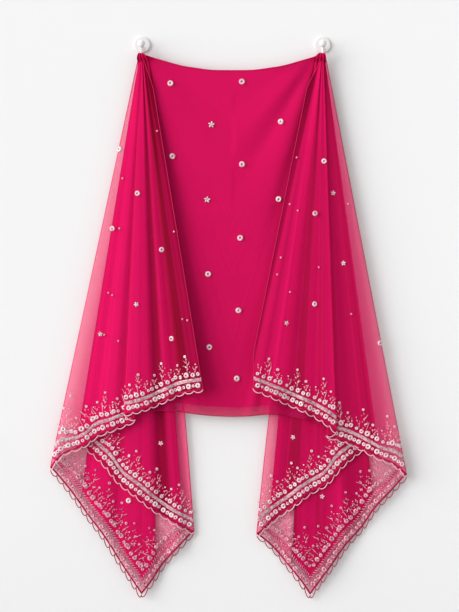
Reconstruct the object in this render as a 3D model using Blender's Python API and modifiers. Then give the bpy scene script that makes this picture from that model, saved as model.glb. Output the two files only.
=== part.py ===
"""Dupatta stole of embroidered net, hung by its long edge from two round wall hooks.

Metres, +Z up, X to the right. The wall is the plane y = 0 and the cloth hangs on its -Y side.
The origin lies on the wall, midway between the two hook plates. From each hook the cloth falls
as a fan that is folded on itself: a front layer whose outer half is pleated under its inner
half, a middle layer, and a back layer that ends in the stole's corner. Between the hooks hangs
the centre stretch, over a shorter inner layer.
"""
import math

import bmesh
import bpy
import numpy as np

# Hooks
HOOK_SPACING = 0.4708
PLATE_RADIUS = 0.0212
PLATE_DEPTH = 0.0055
PLATE_EDGE = 0.0022
PLATE_FRONT = 0.4 * PLATE_DEPTH
ROD_RADIUS = 0.0022
BALL_RADIUS = 0.0100
BALL_FORWARD = 0.0378
GAP = 0.0003

# Cloth walls and trimmings
WALL = 0.0010
TRIM_OFFSET = WALL + GAP
FOLD_GAP = 0.0007
EDGING_START = 0.0060
EDGING_GAP = 0.0010
BRAID_FROM = 0.0245
BRAID_WIDTH = 0.0090

# Lace edging: a narrow band with open loops of cord beyond it. Reaches are from the band's
# inner edge; phases are shares of one loop's pitch
LOOP_PITCH = 0.0255
BAND_REACH = 0.0016
LOOP_ROOT = 0.0032
LOOP_REACH = 0.0098
LOOP_CORD = 0.0024
LOOP_TIED = 0.09
LOOP_CREST = 0.32

# Where the gathered cloth leaves each hook
GATHER_OUTER = 0.0074
GATHER_INNER = 0.0025
GATHER_RIPPLE = 0.0006
GATHER_PLEATS = 13
GATHER_ARC = 8
GATHER_FRONT = -0.0290
GATHER_BACK = -0.0170
GATHER_STAND = 0.0005
GATHER_NECK = 0.0030
ROD_DROP = 0.0312
SHEET_TOP = 0.0388
FAN_ROOT = 0.0375

# Length of hem over which its direction is taken
HEM_WINDOW = 0.05
# Columns nearer than this to a fold's own columns, or to a hem's end, are left out
TURN_CLEAR = 0.006

# The folds open out with distance from the hook, up to this distance
FULL_REACH = 1.0
FOLD_OPENS_FROM = 0.05
FOLD_OPENS_TO = 0.30
RAY_ROWS = 6
# Rows stand closer together towards the hook, the more so the higher this power
FALL_CROWDING = 1.3
CENTRE_CROWDING = 1.15
# Where a rounded fold has its columns, as shares of its width from the turn
FOLD_SHARES = (0.0, 0.05, 0.2, 0.5, 1.0)

# Depth of each layer in front of the wall: at the hook, and from FULL_REACH down
LAYER_DEPTH = {
    "back": (-0.0175, -0.0120),
    "middle": (-0.0191, -0.0170),
    "inner": (-0.0207, -0.0232),
    "centre": (-0.0223, -0.0252),
    "front_outer": (-0.0239, -0.0325),
    "front_pleat": (-0.0255, -0.0375),
    "front_inner": (-0.0271, -0.0425),
}

# Half-turn folds between two layers: name -> angle that the rounded part takes, in radians
FOLD_ANGLE = {"outer": 0.0140, "pleat": 0.0040, "corner": 0.0040, "hidden": 0.0060}

# Hem points of each fall. Columns: distance from the hook towards the centre, drop below it
HEMS = {
    "left": {
        "front_inner": [(0.1605, 0.8990), (0.1070, 0.9083), (0.0600, 0.9290), (0.0125, 0.9490),
                        (-0.0450, 0.9644)],
        "front_pleat": [(-0.0450, 0.9644), (-0.0157, 0.9788)],
        "front_outer": [(-0.0157, 0.9788), (-0.0407, 0.9905), (-0.0783, 1.0050),
                        (-0.1133, 1.0190), (-0.1483, 1.0450), (-0.2036, 1.0680),
                        (-0.2388, 1.1066)],
        "back_end": [(-0.2388, 1.1066), (-0.1822, 1.1750), (-0.1436, 1.2300),
                     (-0.1096, 1.2737), (-0.0566, 1.3560), (-0.0010, 1.4394)],
        "back_long": [(-0.0010, 1.4394), (0.0230, 1.4094), (0.0556, 1.3614),
                      (0.0937, 1.3175), (0.1357, 1.2737)],
        "middle": [(0.1357, 1.2737), (0.0934, 1.2515), (0.0392, 1.2189), (-0.0211, 1.1714),
                   (-0.0579, 1.1432), (-0.0947, 1.0980), (-0.1449, 1.0505)],
        "centre": [(-0.1449, 1.0505), (-0.0800, 1.0000), (-0.0200, 0.9620), (0.0400, 0.9530),
                   (0.1000, 0.9560)],
    },
    "right": {
        "front_inner": [(0.1822, 0.8965), (0.1347, 0.9160), (0.0874, 0.9375), (0.0402, 0.9584),
                        (-0.0120, 0.9900), (-0.0355, 1.0100)],
        "front_pleat": [(-0.0355, 1.0100), (-0.0094, 1.0205)],
        "front_outer": [(-0.0094, 1.0205), (-0.0321, 1.0264), (-0.0590, 1.0345),
                        (-0.1007, 1.0539), (-0.1469, 1.0780), (-0.1817, 1.0923),
                        (-0.2190, 1.1249)],
        "back_end": [(-0.2190, 1.1249), (-0.1790, 1.1693), (-0.1425, 1.2084),
                     (-0.1034, 1.2643), (-0.0647, 1.3068), (-0.0261, 1.3609),
                     (0.0329, 1.4420)],
        "back_long": [(0.0329, 1.4420), (0.0490, 1.4164), (0.0910, 1.3624),
                      (0.1436, 1.3030), (0.1723, 1.2790)],
        "middle": [(0.1723, 1.2790), (0.1128, 1.2293), (0.0859, 1.2103), (0.0355, 1.1716),
                   (-0.0091, 1.1458), (-0.0472, 1.1030), (-0.1047, 1.0544)],
        "centre": [(-0.1047, 1.0544), (-0.0500, 1.0200), (0.0300, 0.9800), (0.1100, 0.9640),
                   (0.1400, 0.9620)],
    },
}

# Which fold closes each layer at its first and at its last hem point, and what lies beyond it
LAYER_FOLDS = {
    "front_inner": (None, ("pleat", "front_pleat")),
    "front_pleat": (("pleat", "front_inner"), ("pleat", "front_outer")),
    "front_outer": (("pleat", "front_pleat"), ("outer", "back")),
    "back_end": (("outer", "front_outer"), None),
    "back_long": (None, ("corner", "middle")),
    "middle": (("corner", "back"), ("hidden", "centre")),
    "centre": (("hidden", "middle"), None),
}

# Flutes that all layers of a fall share.
# Columns: angle from the vertical in degrees, positive towards the centre; rise towards the
# viewer at full reach; half width in degrees
FLUTES = {
    "left": [(-8.6, 0.0026, 0.9), (-4.6, 0.0044, 1.5), (-0.8, 0.0056, 1.6),
             (2.5, -0.0071, 1.0), (4.1, 0.0043, 0.9), (5.8, -0.0071, 0.8), (8.4, 0.0042, 1.5)],
    "right": [(-8.0, 0.0032, 1.4), (-4.6, -0.0062, 1.3), (-0.6, 0.0040, 1.3),
              (1.2, -0.0026, 0.8), (2.9, 0.0066, 0.9), (5.2, -0.0072, 1.2),
              (8.0, 0.0038, 1.2), (10.9, 0.0048, 0.9)],
}
FLANK = 0.85
LINE_SPACING = 0.9
FLUTE_FADE_FROM = {"left": 10.5, "right": 12.0}
FLUTE_FADE = 5.0
FLUTE_REACH = 0.9

# Soft creases of the centre stretch that run out of each hook. Columns as in FLUTES
CREASES = {
    "left": [(19.0, -0.0015, 4.0), (34.0, 0.0012, 5.0), (50.0, -0.0010, 5.0)],
    "right": [(21.0, 0.0020, 4.0), (31.0, -0.0040, 4.0), (41.0, 0.0022, 4.5),
              (55.0, -0.0012, 5.0)],
}
# Distances from the hook where the creases start, are full, start to end and have ended
CREASE_SPAN = (0.02, 0.16, 0.20, 0.55)

# The fold at the inner side of a fall hangs steeper than its ray, by this much halfway down
INNER_BOW = 0.0115

# The free edge of the front layer stands off towards the viewer, by this much at its hem. It
# starts to leave the layers behind at one angle from the vertical and is full at the other
EDGE_STAND_OFF = {"left": 0.0240, "right": 0.0130}
STAND_OFF_FROM = 4.0
STAND_OFF_TO = 11.0

# The free edge of the front layer bows out towards the centre, by these much near the hook and
# near the hem, between two shares of the way down
EDGE_BOW = {"left": (0.0115, 0.0), "right": (0.0190, 0.0170)}
BOW_FULL = 0.10
BOW_ENDS = 0.88

# Top edge of the centre stretch. Columns: distance from the hook, drop below it
TOP_EDGE = [(0.0088, 0.0285), (0.0196, 0.0326), (0.0590, 0.0444), (0.1057, 0.0572),
            (0.1407, 0.0629), (0.1757, 0.0676), (0.2354, 0.0690)]
TOP_SEAM = 0.0002
CENTRE_DROP = 0.9680
INNER_SHORTER = 0.0235
INNER_FIRST_COLUMN = 6
CENTRE_COLUMNS = 9

SIDES = {"left": 1.0, "right": -1.0}

# Braid: the side of the net that it lies on, and the net columns that it runs over. It stops
# short of a fold that would pinch it
FACE_SIDE = {"front_inner": -1, "front_outer": -1, "middle": -1, "back": 1}
BRAID_COLUMNS = {"front_inner": (0, None), "front_outer": (5, None), "middle": (0, -5),
                 "back": (0, None)}

COLOURS = {
    "net": ((0.78, 0.012, 0.13), 0.62, 0.0),
    "inner": ((0.50, 0.004, 0.06), 0.70, 0.0),
    "edging": ((0.90, 0.62, 0.66), 0.55, 0.0),
    "braid": ((0.62, 0.56, 0.55), 0.35, 0.6),
    "hook": ((0.90, 0.90, 0.89), 0.25, 0.0),
}


def clear_scene():
    """Empty the scene of the objects that Blender opens with."""
    for thing in list(bpy.data.objects):
        bpy.data.objects.remove(thing, do_unlink=True)


def make_material(name):
    """Return the material of that name, a Principled surface in its colour."""
    made = bpy.data.materials.get(name)
    if made:
        return made
    colour, roughness, metallic = COLOURS[name]
    made = bpy.data.materials.new(name)
    made.use_nodes = True
    shader = made.node_tree.nodes["Principled BSDF"]
    shader.inputs["Base Color"].default_value = (*colour, 1.0)
    shader.inputs["Roughness"].default_value = roughness
    shader.inputs["Metallic"].default_value = metallic
    return made


def smooth_step(values, low, high):
    """0 below low, 1 above high, and an S-shaped rise between them."""
    share = np.clip((values - low) / (high - low), 0.0, 1.0)
    return share * share * (3.0 - 2.0 * share)


def smooth_curve(rows, samples):
    """Points on a smooth curve through rows, each stretch a cubic with averaged end slopes."""
    points = np.array(rows, dtype=float)
    steps = np.linalg.norm(np.diff(points, axis=0), axis=1)
    along = np.concatenate(([0.0], np.cumsum(steps)))
    slopes = np.gradient(points, along, axis=0)
    where = np.linspace(0.0, along[-1], samples)
    spot = np.clip(np.searchsorted(along, where, side="right") - 1, 0, len(points) - 2)
    length = (along[spot + 1] - along[spot])[:, None]
    share = ((where - along[spot])[:, None]) / length
    blend_start = 2 * share**3 - 3 * share**2 + 1
    blend_end = -2 * share**3 + 3 * share**2
    pull_start = (share**3 - 2 * share**2 + share) * length
    pull_end = (share**3 - share**2) * length
    return (blend_start * points[spot] + blend_end * points[spot + 1]
            + pull_start * slopes[spot] + pull_end * slopes[spot + 1])


def layer_depth(layer, reach):
    """Depth of a layer's middle surface at a distance from its hook, before the flutes."""
    at_hook, at_reach = LAYER_DEPTH[layer]
    return at_hook + (at_reach - at_hook) * np.clip(reach / FULL_REACH, 0.0, 1.0)


def bumps(rows, degrees):
    """Sum of the rows' round bumps at an angle: rise times exp(-(distance / half width)^2)."""
    total = np.zeros_like(degrees)
    for centre, rise, half_width in rows:
        total += rise * np.exp(-((degrees - centre) / half_width) ** 2)
    return total


def shared_depth(side, inward, drop):
    """Depth that the flutes and creases add at a place, the same for every layer."""
    degrees = np.degrees(np.arctan2(inward, drop))
    reach = np.hypot(inward, drop)
    fade_from = FLUTE_FADE_FROM[side]
    fade = 1.0 - smooth_step(degrees, fade_from, fade_from + FLUTE_FADE)
    flutes = bumps(FLUTES[side], degrees) * fade * smooth_step(reach, 0.0, FLUTE_REACH)
    start, full, ending, end = CREASE_SPAN
    envelope = smooth_step(reach, start, full) * (1.0 - smooth_step(reach, ending, end))
    creases = bumps(CREASES[side], degrees) * envelope
    return -(flutes + creases)


def stand_off(side, inward, drop):
    """How far the front layer's free edge stands off: more towards the edge and the hem."""
    degrees = np.degrees(np.arctan2(inward, drop))
    reach = np.hypot(inward, drop)
    grown = smooth_step(reach, FOLD_OPENS_FROM, FULL_REACH)
    return EDGE_STAND_OFF[side] * grown * smooth_step(degrees, STAND_OFF_FROM, STAND_OFF_TO)


def edge_bow(side, inward, share):
    """How far the front layer's free edge and the cloth beside it bow towards the centre."""
    near_hook, near_hem = EDGE_BOW[side]
    pull = np.clip(inward / HEMS[side]["front_inner"][0][0], 0.0, 1.0) ** 2
    ends = smooth_step(share, 0.0, BOW_FULL) * (1.0 - smooth_step(share, BOW_ENDS, 1.0))
    return (near_hook + (near_hem - near_hook) * share) * pull * ends


def fold_profile(share):
    """Height of a rounded fold, 1 at its turn and 0 where the flat layer starts: a quarter
    ellipse."""
    left = 1.0 - np.clip(share, 0.0, 1.0)
    return 1.0 - np.sqrt(np.clip(1.0 - left**2, 0.0, 1.0))


def flute_lines(side):
    """Angles, in radians, of the lines that all layers are creased on: each flute's crest and
    its two flanks, no two closer than LINE_SPACING degrees."""
    lines = [centre + flank * half_width for centre, _, half_width in FLUTES[side]
             for flank in (-FLANK, 0.0, FLANK)]
    kept = []
    for line in sorted(lines):
        if not kept or line - kept[-1] >= LINE_SPACING:
            kept.append(line)
    return np.radians(kept)


def ray_angle(inward, drop):
    """Angle of a hem point's ray from the vertical, seen from where the fan starts."""
    return np.arctan2(inward * (1.0 - FAN_ROOT), drop - SHEET_TOP)


class Stretch:
    """One layer of a fall: rays from the hook's gather to a hem curve."""

    def __init__(self, side, name):
        self.side = side
        self.name = name
        self.layer = "back" if name.startswith("back") else name
        self.hem = smooth_curve(HEMS[side][name], 400)
        steps = np.linalg.norm(np.diff(self.hem, axis=0), axis=1)
        self.along = np.concatenate(([0.0], np.cumsum(steps)))
        self.length = float(self.along[-1])
        self.angle = ray_angle(self.hem[:, 0], self.hem[:, 1])
        self.slant = self.ray_slant()

    def ray_slant(self):
        """Sine of the angle between the hem and each ray, over HEM_WINDOW of hem."""
        ends = [np.clip(self.along + shift, 0.0, self.length)
                for shift in (-HEM_WINDOW / 2.0, HEM_WINDOW / 2.0)]
        across, down = [np.interp(ends[1], self.along, self.hem[:, axis])
                        - np.interp(ends[0], self.along, self.hem[:, axis]) for axis in (0, 1)]
        ray_across, ray_down = np.sin(self.angle), np.cos(self.angle)
        return np.abs(across * ray_down - down * ray_across) / np.hypot(across, down)

    def fold_columns(self):
        """Places round each fold, closer together towards its turn, and the turn itself."""
        places = []
        for end, fold in zip((0, -1), LAYER_FOLDS[self.name]):
            if fold is None:
                continue
            off = np.abs(self.angle - self.angle[end])
            away = self.along if end == 0 else self.length - self.along
            order = np.argsort(off)
            reach = float(np.interp(FOLD_ANGLE[fold[0]], off[order], away[order]))
            near = np.array(FOLD_SHARES) * reach
            places.extend(near if end == 0 else self.length - near)
        return np.array(places)

    def columns(self):
        """Places along the hem: one on each flute line, both ends, and those of the folds."""
        order = np.argsort(self.angle)
        lines = flute_lines(self.side)
        lines = lines[(lines > self.angle.min()) & (lines < self.angle.max())]
        ends = np.array([0.0, self.length])
        turns = np.concatenate([ends, self.fold_columns()])
        places = np.interp(lines, self.angle[order], self.along[order])
        clear = np.min(np.abs(places[:, None] - turns[None, :]), axis=1)
        return np.unique(np.round(np.concatenate([places[clear > TURN_CLEAR], turns]), 7))

    def rays(self, places):
        """Each ray's hem point, its length, and the sine of its angle to the hem."""
        inward = np.interp(places, self.along, self.hem[:, 0])[:, None]
        drop = np.interp(places, self.along, self.hem[:, 1])[:, None]
        length = np.hypot(inward * (1.0 - FAN_ROOT), drop - SHEET_TOP)
        return inward, drop, length, np.interp(places, self.along, self.slant)[:, None]

    def surface(self, places, insets, lift=0.0):
        """Grid of points. places: along the hem. insets: distance in from the hem, square to
        it, one row of them for each column. lift: how far off the layer's middle."""
        inward, drop, ray, slant = self.rays(places)
        top_inward = inward * FAN_ROOT
        share = 1.0 - np.asarray(insets) / slant / ray
        across = top_inward + (inward - top_inward) * share
        down = SHEET_TOP + (drop - SHEET_TOP) * share
        if self.layer in ("back", "middle"):
            pull = np.clip(inward / HEMS[self.side]["middle"][0][0], 0.0, 1.0) ** 2
            across = across + INNER_BOW * pull * 4.0 * share * (1.0 - share)
        if self.layer == "front_inner":
            across = across + edge_bow(self.side, inward, share)
        reach = np.hypot(across, down)
        depth = layer_depth(self.layer, reach)
        angle = ray_angle(inward, drop)
        for end, fold in zip((0, -1), LAYER_FOLDS[self.name]):
            if fold is None:
                continue
            kind, beyond = fold
            half = (layer_depth(beyond, reach) - depth) / 2.0
            half = half - np.sign(half) * FOLD_GAP / 2.0
            opened = smooth_step(reach, FOLD_OPENS_FROM, FOLD_OPENS_TO)
            turn = fold_profile(np.abs(angle - self.angle[end]) / FOLD_ANGLE[kind])
            depth = depth + half * opened * turn
        if self.layer == "front_inner":
            depth = depth - stand_off(self.side, across, down)
        depth = depth + shared_depth(self.side, across, down) + lift
        return place_in_frame(self.side, across, depth, down)


def place_in_frame(side, inward, depth, drop):
    """Turn distances from a hook into points of the whole object's frame."""
    sign = SIDES[side]
    x = sign * (inward - HOOK_SPACING / 2.0)
    y = depth + np.zeros_like(inward)
    return np.stack([x, y, -drop + np.zeros_like(inward)], axis=-1)


def cloth_wall(name, points, faces, material):
    """A cloth wall: a surface with Solidify, half its thickness on either side."""
    mesh = bpy.data.meshes.new(name)
    mesh.from_pydata(points.tolist(), [], faces.tolist())
    mesh.materials.append(make_material(material))
    mesh.shade_smooth()
    wall = bpy.data.objects.new(name, mesh)
    PIECES.objects.link(wall)
    solid = wall.modifiers.new("Wall", "SOLIDIFY")
    solid.thickness = WALL
    solid.offset = 0.0
    return wall


def quads(corner):
    """Faces between the neighbouring points of a grid of point numbers."""
    return np.stack([corner[:-1, :-1], corner[1:, :-1], corner[1:, 1:], corner[:-1, 1:]],
                    axis=-1).reshape(-1, 4)


def wall_from_grid(name, grid, material):
    """A cloth wall over a grid of points."""
    columns, rows = grid.shape[:2]
    corner = np.arange(columns * rows).reshape(columns, rows)
    return cloth_wall(name, grid.reshape(-1, 3), quads(corner), material)


def net_grid(stretch):
    """The net from just below the gather to the edging: rows closer near the hook, then one
    row at each edge of the braid, and the cut edge."""
    places = stretch.columns()
    ray, slant = stretch.rays(places)[2:]
    share = np.linspace(0.0, 1.0, RAY_ROWS)[None, :] ** FALL_CROWDING
    braid_top = BRAID_FROM + BRAID_WIDTH
    insets = ray * slant - share * (ray * slant - braid_top)
    ends = np.broadcast_to([BRAID_FROM, EDGING_START], (len(places), 2))
    return stretch.surface(places, np.concatenate([insets, ends], axis=1))


def edging_columns(stretch):
    """Columns of the lace on one hem, each with the reach of its loop, and which of them the
    band has. Round a fold the net's own columns are added."""
    count = max(1, round(stretch.length / LOOP_PITCH))
    loops = np.arange(count)[:, None]
    tied = (loops + np.array([[LOOP_TIED, 1.0 - LOOP_TIED]])).ravel() / count * stretch.length
    tied = np.concatenate([[0.0], tied, [stretch.length]])
    crest = (loops + np.array([[LOOP_CREST, 1.0 - LOOP_CREST]])).ravel() / count * stretch.length
    knots = np.concatenate([tied, crest])
    places = np.unique(np.round(np.concatenate([knots, stretch.fold_columns()]), 7))
    is_band = np.min(np.abs(places[:, None] - crest[None, :]), axis=1) > GAP
    order = np.argsort(knots)
    reach = np.concatenate([np.full(len(tied), LOOP_ROOT), np.full(len(crest), LOOP_REACH)])
    return places, is_band, np.interp(places, knots[order], reach[order])


def edging_grid(stretch):
    """Lace in line with the net's facets. Four rows: the band's two edges, then the inner and
    the outer edge of the loops' cord, as shares of the way out from the band's inner edge."""
    columns = stretch.columns()
    start = EDGING_START - EDGING_GAP
    insets = np.broadcast_to([start, start - LOOP_REACH], (len(columns), 2))
    rim = stretch.surface(columns, insets)
    places, is_band, reach = edging_columns(stretch)
    inner, outer = [np.stack([np.interp(places, columns, rim[:, row, axis])
                              for axis in range(3)], axis=-1) for row in (0, 1)]
    band = np.full_like(reach, BAND_REACH)
    is_tied = reach - LOOP_CORD < BAND_REACH + GAP
    cord = np.where(is_tied, band, reach - LOOP_CORD)
    shares = np.stack([np.zeros_like(reach), band, cord, reach], axis=1) / LOOP_REACH
    grid = inner[:, None, :] + (outer - inner)[:, None, :] * shares[..., None]
    return grid, is_tied, is_band | is_tied


def edging(name, stretches):
    """The lace along a layer's hems as one wall with a gap in each loop."""
    parts = [edging_grid(stretch) for stretch in stretches]
    grid, is_tied, is_band = [np.concatenate([parts[0][item]] + [more[item][1:]
                                                                 for more in parts[1:]])
                              for item in range(3)]
    corner = np.arange(grid.shape[0] * 4).reshape(-1, 4)
    corner[is_tied, 2] = corner[is_tied, 1]
    band = corner[is_band]
    faces = np.concatenate([
        np.stack([band[:-1, 0], band[1:, 0], band[1:, 1], band[:-1, 1]], axis=1),
        np.stack([corner[:-1, 2], corner[1:, 2], corner[1:, 3], corner[:-1, 3]], axis=1)])
    used, faces = np.unique(faces, return_inverse=True)
    return cloth_wall(name, grid.reshape(-1, 3)[used], faces.reshape(-1, 4), "edging")


def point_normals(mesh, shape):
    """The mesh's point normals in the shape of its grid."""
    normals = np.empty(len(mesh.vertices) * 3)
    mesh.vertices.foreach_get("normal", normals)
    return normals.reshape(*shape)


def fall_layer(side, layer):
    """Net and edging of one layer of a fall, and its braid, which is the net's own points
    moved out. The back layer has two hems, which meet at the free corner."""
    hems = ("back_end", "back_long") if layer == "back" else (layer,)
    stretches = [Stretch(side, hem) for hem in hems]
    nets = [net_grid(stretch) for stretch in stretches]
    grid = np.concatenate([nets[0]] + [more[1:] for more in nets[1:]], axis=0)
    net = wall_from_grid(f"{layer}_net_{side}", grid, "net")
    edging(f"{layer}_edging_{side}", stretches)
    if layer not in FACE_SIDE:
        return
    normals = point_normals(net.data, grid.shape)
    toward_wall = np.sign(np.mean(normals[..., 1]))
    lifted = grid + normals * toward_wall * FACE_SIDE[layer] * TRIM_OFFSET
    first, last = BRAID_COLUMNS[layer]
    strip = lifted[first:last, -3:-1]
    wall_from_grid(f"{layer}_braid_{side}", strip, "braid")


def centre_columns(side):
    """Top and bottom points of the centre stretch on one side, hidden fold to mid-line, with
    each column's angle from the fold."""
    stretch = Stretch(side, "centre")
    places = stretch.columns()
    low_inward = np.interp(places, stretch.along, stretch.hem[:, 0])
    low_drop = np.interp(places, stretch.along, stretch.hem[:, 1])
    first, last = low_inward[0] * FAN_ROOT, TOP_EDGE[0][0] - TOP_SEAM
    share = (low_inward - low_inward[0]) / (low_inward[-1] - low_inward[0])
    high_inward = first + (last - first) * share
    across = np.linspace(TOP_EDGE[0][0], TOP_EDGE[-1][0], CENTRE_COLUMNS)
    run = (across - across[0]) / (across[-1] - across[0])
    curve = smooth_curve(TOP_EDGE, 200)
    centre_high = np.interp(across, curve[:, 0], curve[:, 1])
    start = HEMS[side]["centre"][-1]
    centre_low = start[0] + (across[-1] - start[0]) * run
    low_edge = start[1] + (CENTRE_DROP - start[1]) * np.sin(run * np.pi / 2.0)
    high = np.stack([np.concatenate([high_inward, across]),
                     np.concatenate([np.full_like(high_inward, SHEET_TOP), centre_high])], 1)
    low = np.stack([np.concatenate([low_inward, centre_low]),
                    np.concatenate([low_drop, low_edge])], 1)
    angle = ray_angle(low[:, 0], low[:, 1])
    return high, low, np.abs(angle - angle[0])


def centre_grid(side, layer):
    """Half of the centre stretch: straight lines from its top edge to its lower edge, with a
    row where the inner layer ends. The outer layer turns into the fold at its end."""
    high, low, turned = centre_columns(side)
    length = np.hypot(*(low - high).T)[:, None]
    share = np.linspace(0.0, 1.0, RAY_ROWS + 1)[None, :] ** CENTRE_CROWDING
    share = np.concatenate([share * (1.0 - INNER_SHORTER / length), np.ones_like(length)], 1)
    inward = high[:, :1] + (low[:, :1] - high[:, :1]) * share
    drop = high[:, 1:] + (low[:, 1:] - high[:, 1:]) * share
    reach = np.hypot(inward, drop)
    depth = layer_depth(layer, reach)
    if layer == "centre":
        half = (layer_depth("middle", reach) - depth) / 2.0 - FOLD_GAP / 2.0
        opened = smooth_step(reach, FOLD_OPENS_FROM, FOLD_OPENS_TO)
        turn = fold_profile(turned[:, None] / FOLD_ANGLE["hidden"])
        depth = depth + half * opened * turn
    depth = depth + shared_depth(side, inward, drop)
    return place_in_frame(side, inward, depth, drop)


def centre_stretch(name, layer, material):
    """The stretch between the hooks, with its ends folded in behind the falls. The inner
    layer stops short of the fold and of the lower edge."""
    left, right = [centre_grid(side, layer) for side in SIDES]
    if layer == "inner":
        left, right = left[INNER_FIRST_COLUMN:, :-1], right[INNER_FIRST_COLUMN:, :-1]
    grid = np.concatenate([left, right[::-1][1:]], axis=0)
    return wall_from_grid(name, grid, material)


def arches(radii):
    """Arches over the hook's rod, one behind the other, each with a leg down at either end."""
    legs = np.array([SHEET_TOP - GAP - GATHER_STAND, ROD_DROP + GATHER_NECK])
    turn = np.linspace(0.0, math.pi, GATHER_ARC)
    across = np.concatenate([[1.0, 1.0], np.cos(turn), [-1.0, -1.0]]) * radii[:, None]
    rise = np.concatenate([[0.0, 0.0], np.sin(turn), [0.0, 0.0]]) * radii[:, None]
    drop = np.concatenate([legs, np.full(GATHER_ARC, ROD_DROP), legs[::-1]])
    depths = np.linspace(GATHER_BACK, GATHER_FRONT, GATHER_PLEATS)
    return np.stack([across, np.broadcast_to(depths[:, None], across.shape), rise - drop],
                    axis=-1)


def gather(side):
    """The cloth's pleats bunched over the hook's rod: a ripple for each pleat, over a plain
    inside."""
    ripple = GATHER_OUTER + GATHER_RIPPLE * (np.arange(GATHER_PLEATS) % 2)
    grids = np.stack([arches(np.full(GATHER_PLEATS, GATHER_INNER)), arches(ripple)])
    grids[..., 0] -= SIDES[side] * HOOK_SPACING / 2.0
    corner = np.arange(grids[..., 0].size).reshape(grids.shape[:3])
    faces = np.concatenate([quads(corner[0]), quads(corner[1]),
                            quads(corner[:, 0]), quads(corner[:, -1]),
                            quads(corner[:, :, 0]), quads(corner[:, :, -1])])
    mesh = bpy.data.meshes.new(f"gather_{side}")
    mesh.from_pydata(grids.reshape(-1, 3).tolist(), [], faces.tolist())
    shape = bmesh.new()
    shape.from_mesh(mesh)
    bmesh.ops.recalc_face_normals(shape, faces=shape.faces)
    shape.to_mesh(mesh)
    shape.free()
    mesh.materials.append(make_material("net"))
    bunch = bpy.data.objects.new(f"gather_{side}", mesh)
    PIECES.objects.link(bunch)
    return bunch


def hook_plate(side):
    """Round plate flat on the wall, its front edge rounded."""
    shape = bmesh.new()
    bmesh.ops.create_cone(shape, cap_ends=True, segments=28, radius1=PLATE_RADIUS,
                          radius2=PLATE_RADIUS, depth=PLATE_DEPTH)
    front = [edge for edge in shape.edges
             if all(vert.co.z > PLATE_FRONT for vert in edge.verts)]
    bmesh.ops.bevel(shape, geom=front, offset=PLATE_EDGE, segments=2, profile=0.5,
                    affect="EDGES")
    mesh = bpy.data.meshes.new(f"hook_plate_{side}")
    shape.to_mesh(mesh)
    shape.free()
    mesh.materials.append(make_material("hook"))
    plate = bpy.data.objects.new(f"hook_plate_{side}", mesh)
    plate.rotation_euler = (math.radians(90.0), 0.0, 0.0)
    plate.location = (-SIDES[side] * HOOK_SPACING / 2.0, -PLATE_DEPTH / 2.0, 0.0)
    PIECES.objects.link(plate)
    return plate


# Centre line of the rod. Columns: distance from the wall, height against the plate's centre
ROD_ROUTE = [(PLATE_DEPTH + GAP, -0.0060), (0.0082, -0.0060), (0.0106, -0.0082),
             (0.0117, -0.0140), (0.0122, -0.0220), (0.0136, -0.0285), (0.0165, -ROD_DROP),
             (0.0230, -ROD_DROP), (0.0295, -ROD_DROP), (0.0326, -0.0285), (0.0345, -0.0220),
             (0.0362, -0.0150), (0.0378, -BALL_RADIUS - GAP - 0.0002)]


def hook_rod(side):
    """The bent rod that the cloth hangs from, a round bar swept along its route."""
    curve = bpy.data.curves.new(f"hook_rod_{side}", "CURVE")
    curve.dimensions = "3D"
    curve.bevel_depth = ROD_RADIUS
    curve.bevel_resolution = 2
    curve.use_fill_caps = True
    line = curve.splines.new("POLY")
    line.points.add(len(ROD_ROUTE) - 1)
    x = -SIDES[side] * HOOK_SPACING / 2.0
    for point, (forward, height) in zip(line.points, ROD_ROUTE):
        point.co = (x, -forward, height, 1.0)
    curve.materials.append(make_material("hook"))
    rod = bpy.data.objects.new(f"hook_rod_{side}", curve)
    PIECES.objects.link(rod)
    return rod


def hook_ball(side):
    """The round knob on the rod's end."""
    shape = bmesh.new()
    bmesh.ops.create_uvsphere(shape, u_segments=16, v_segments=10, radius=BALL_RADIUS)
    mesh = bpy.data.meshes.new(f"hook_ball_{side}")
    shape.to_mesh(mesh)
    shape.free()
    mesh.materials.append(make_material("hook"))
    mesh.shade_smooth()
    ball = bpy.data.objects.new(f"hook_ball_{side}", mesh)
    ball.location = (-SIDES[side] * HOOK_SPACING / 2.0, -BALL_FORWARD, 0.0)
    PIECES.objects.link(ball)
    return ball


def build():
    """Make every piece of the stole and of its hooks."""
    centre_stretch("centre_net", "centre", "net")
    centre_stretch("centre_inner_layer", "inner", "inner")
    for side in SIDES:
        for layer in ("front_inner", "front_pleat", "front_outer", "middle", "back"):
            fall_layer(side, layer)
        gather(side)
        hook_plate(side)
        hook_rod(side)
        hook_ball(side)


clear_scene()
PIECES = bpy.data.collections.new("dupatta_stole")
bpy.context.scene.collection.children.link(PIECES)
build()
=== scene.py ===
"""Looks of a net dupatta stole that hangs from two round wall hooks.

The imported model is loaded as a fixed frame. Each stretch of net is laid again as a fine sheet on
the form of its solid, with denser cloth behind it where the stole is dense, and then the lace,
braid, ring flowers, sprigs and scattered motifs are set on it.
"""

import math

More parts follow.
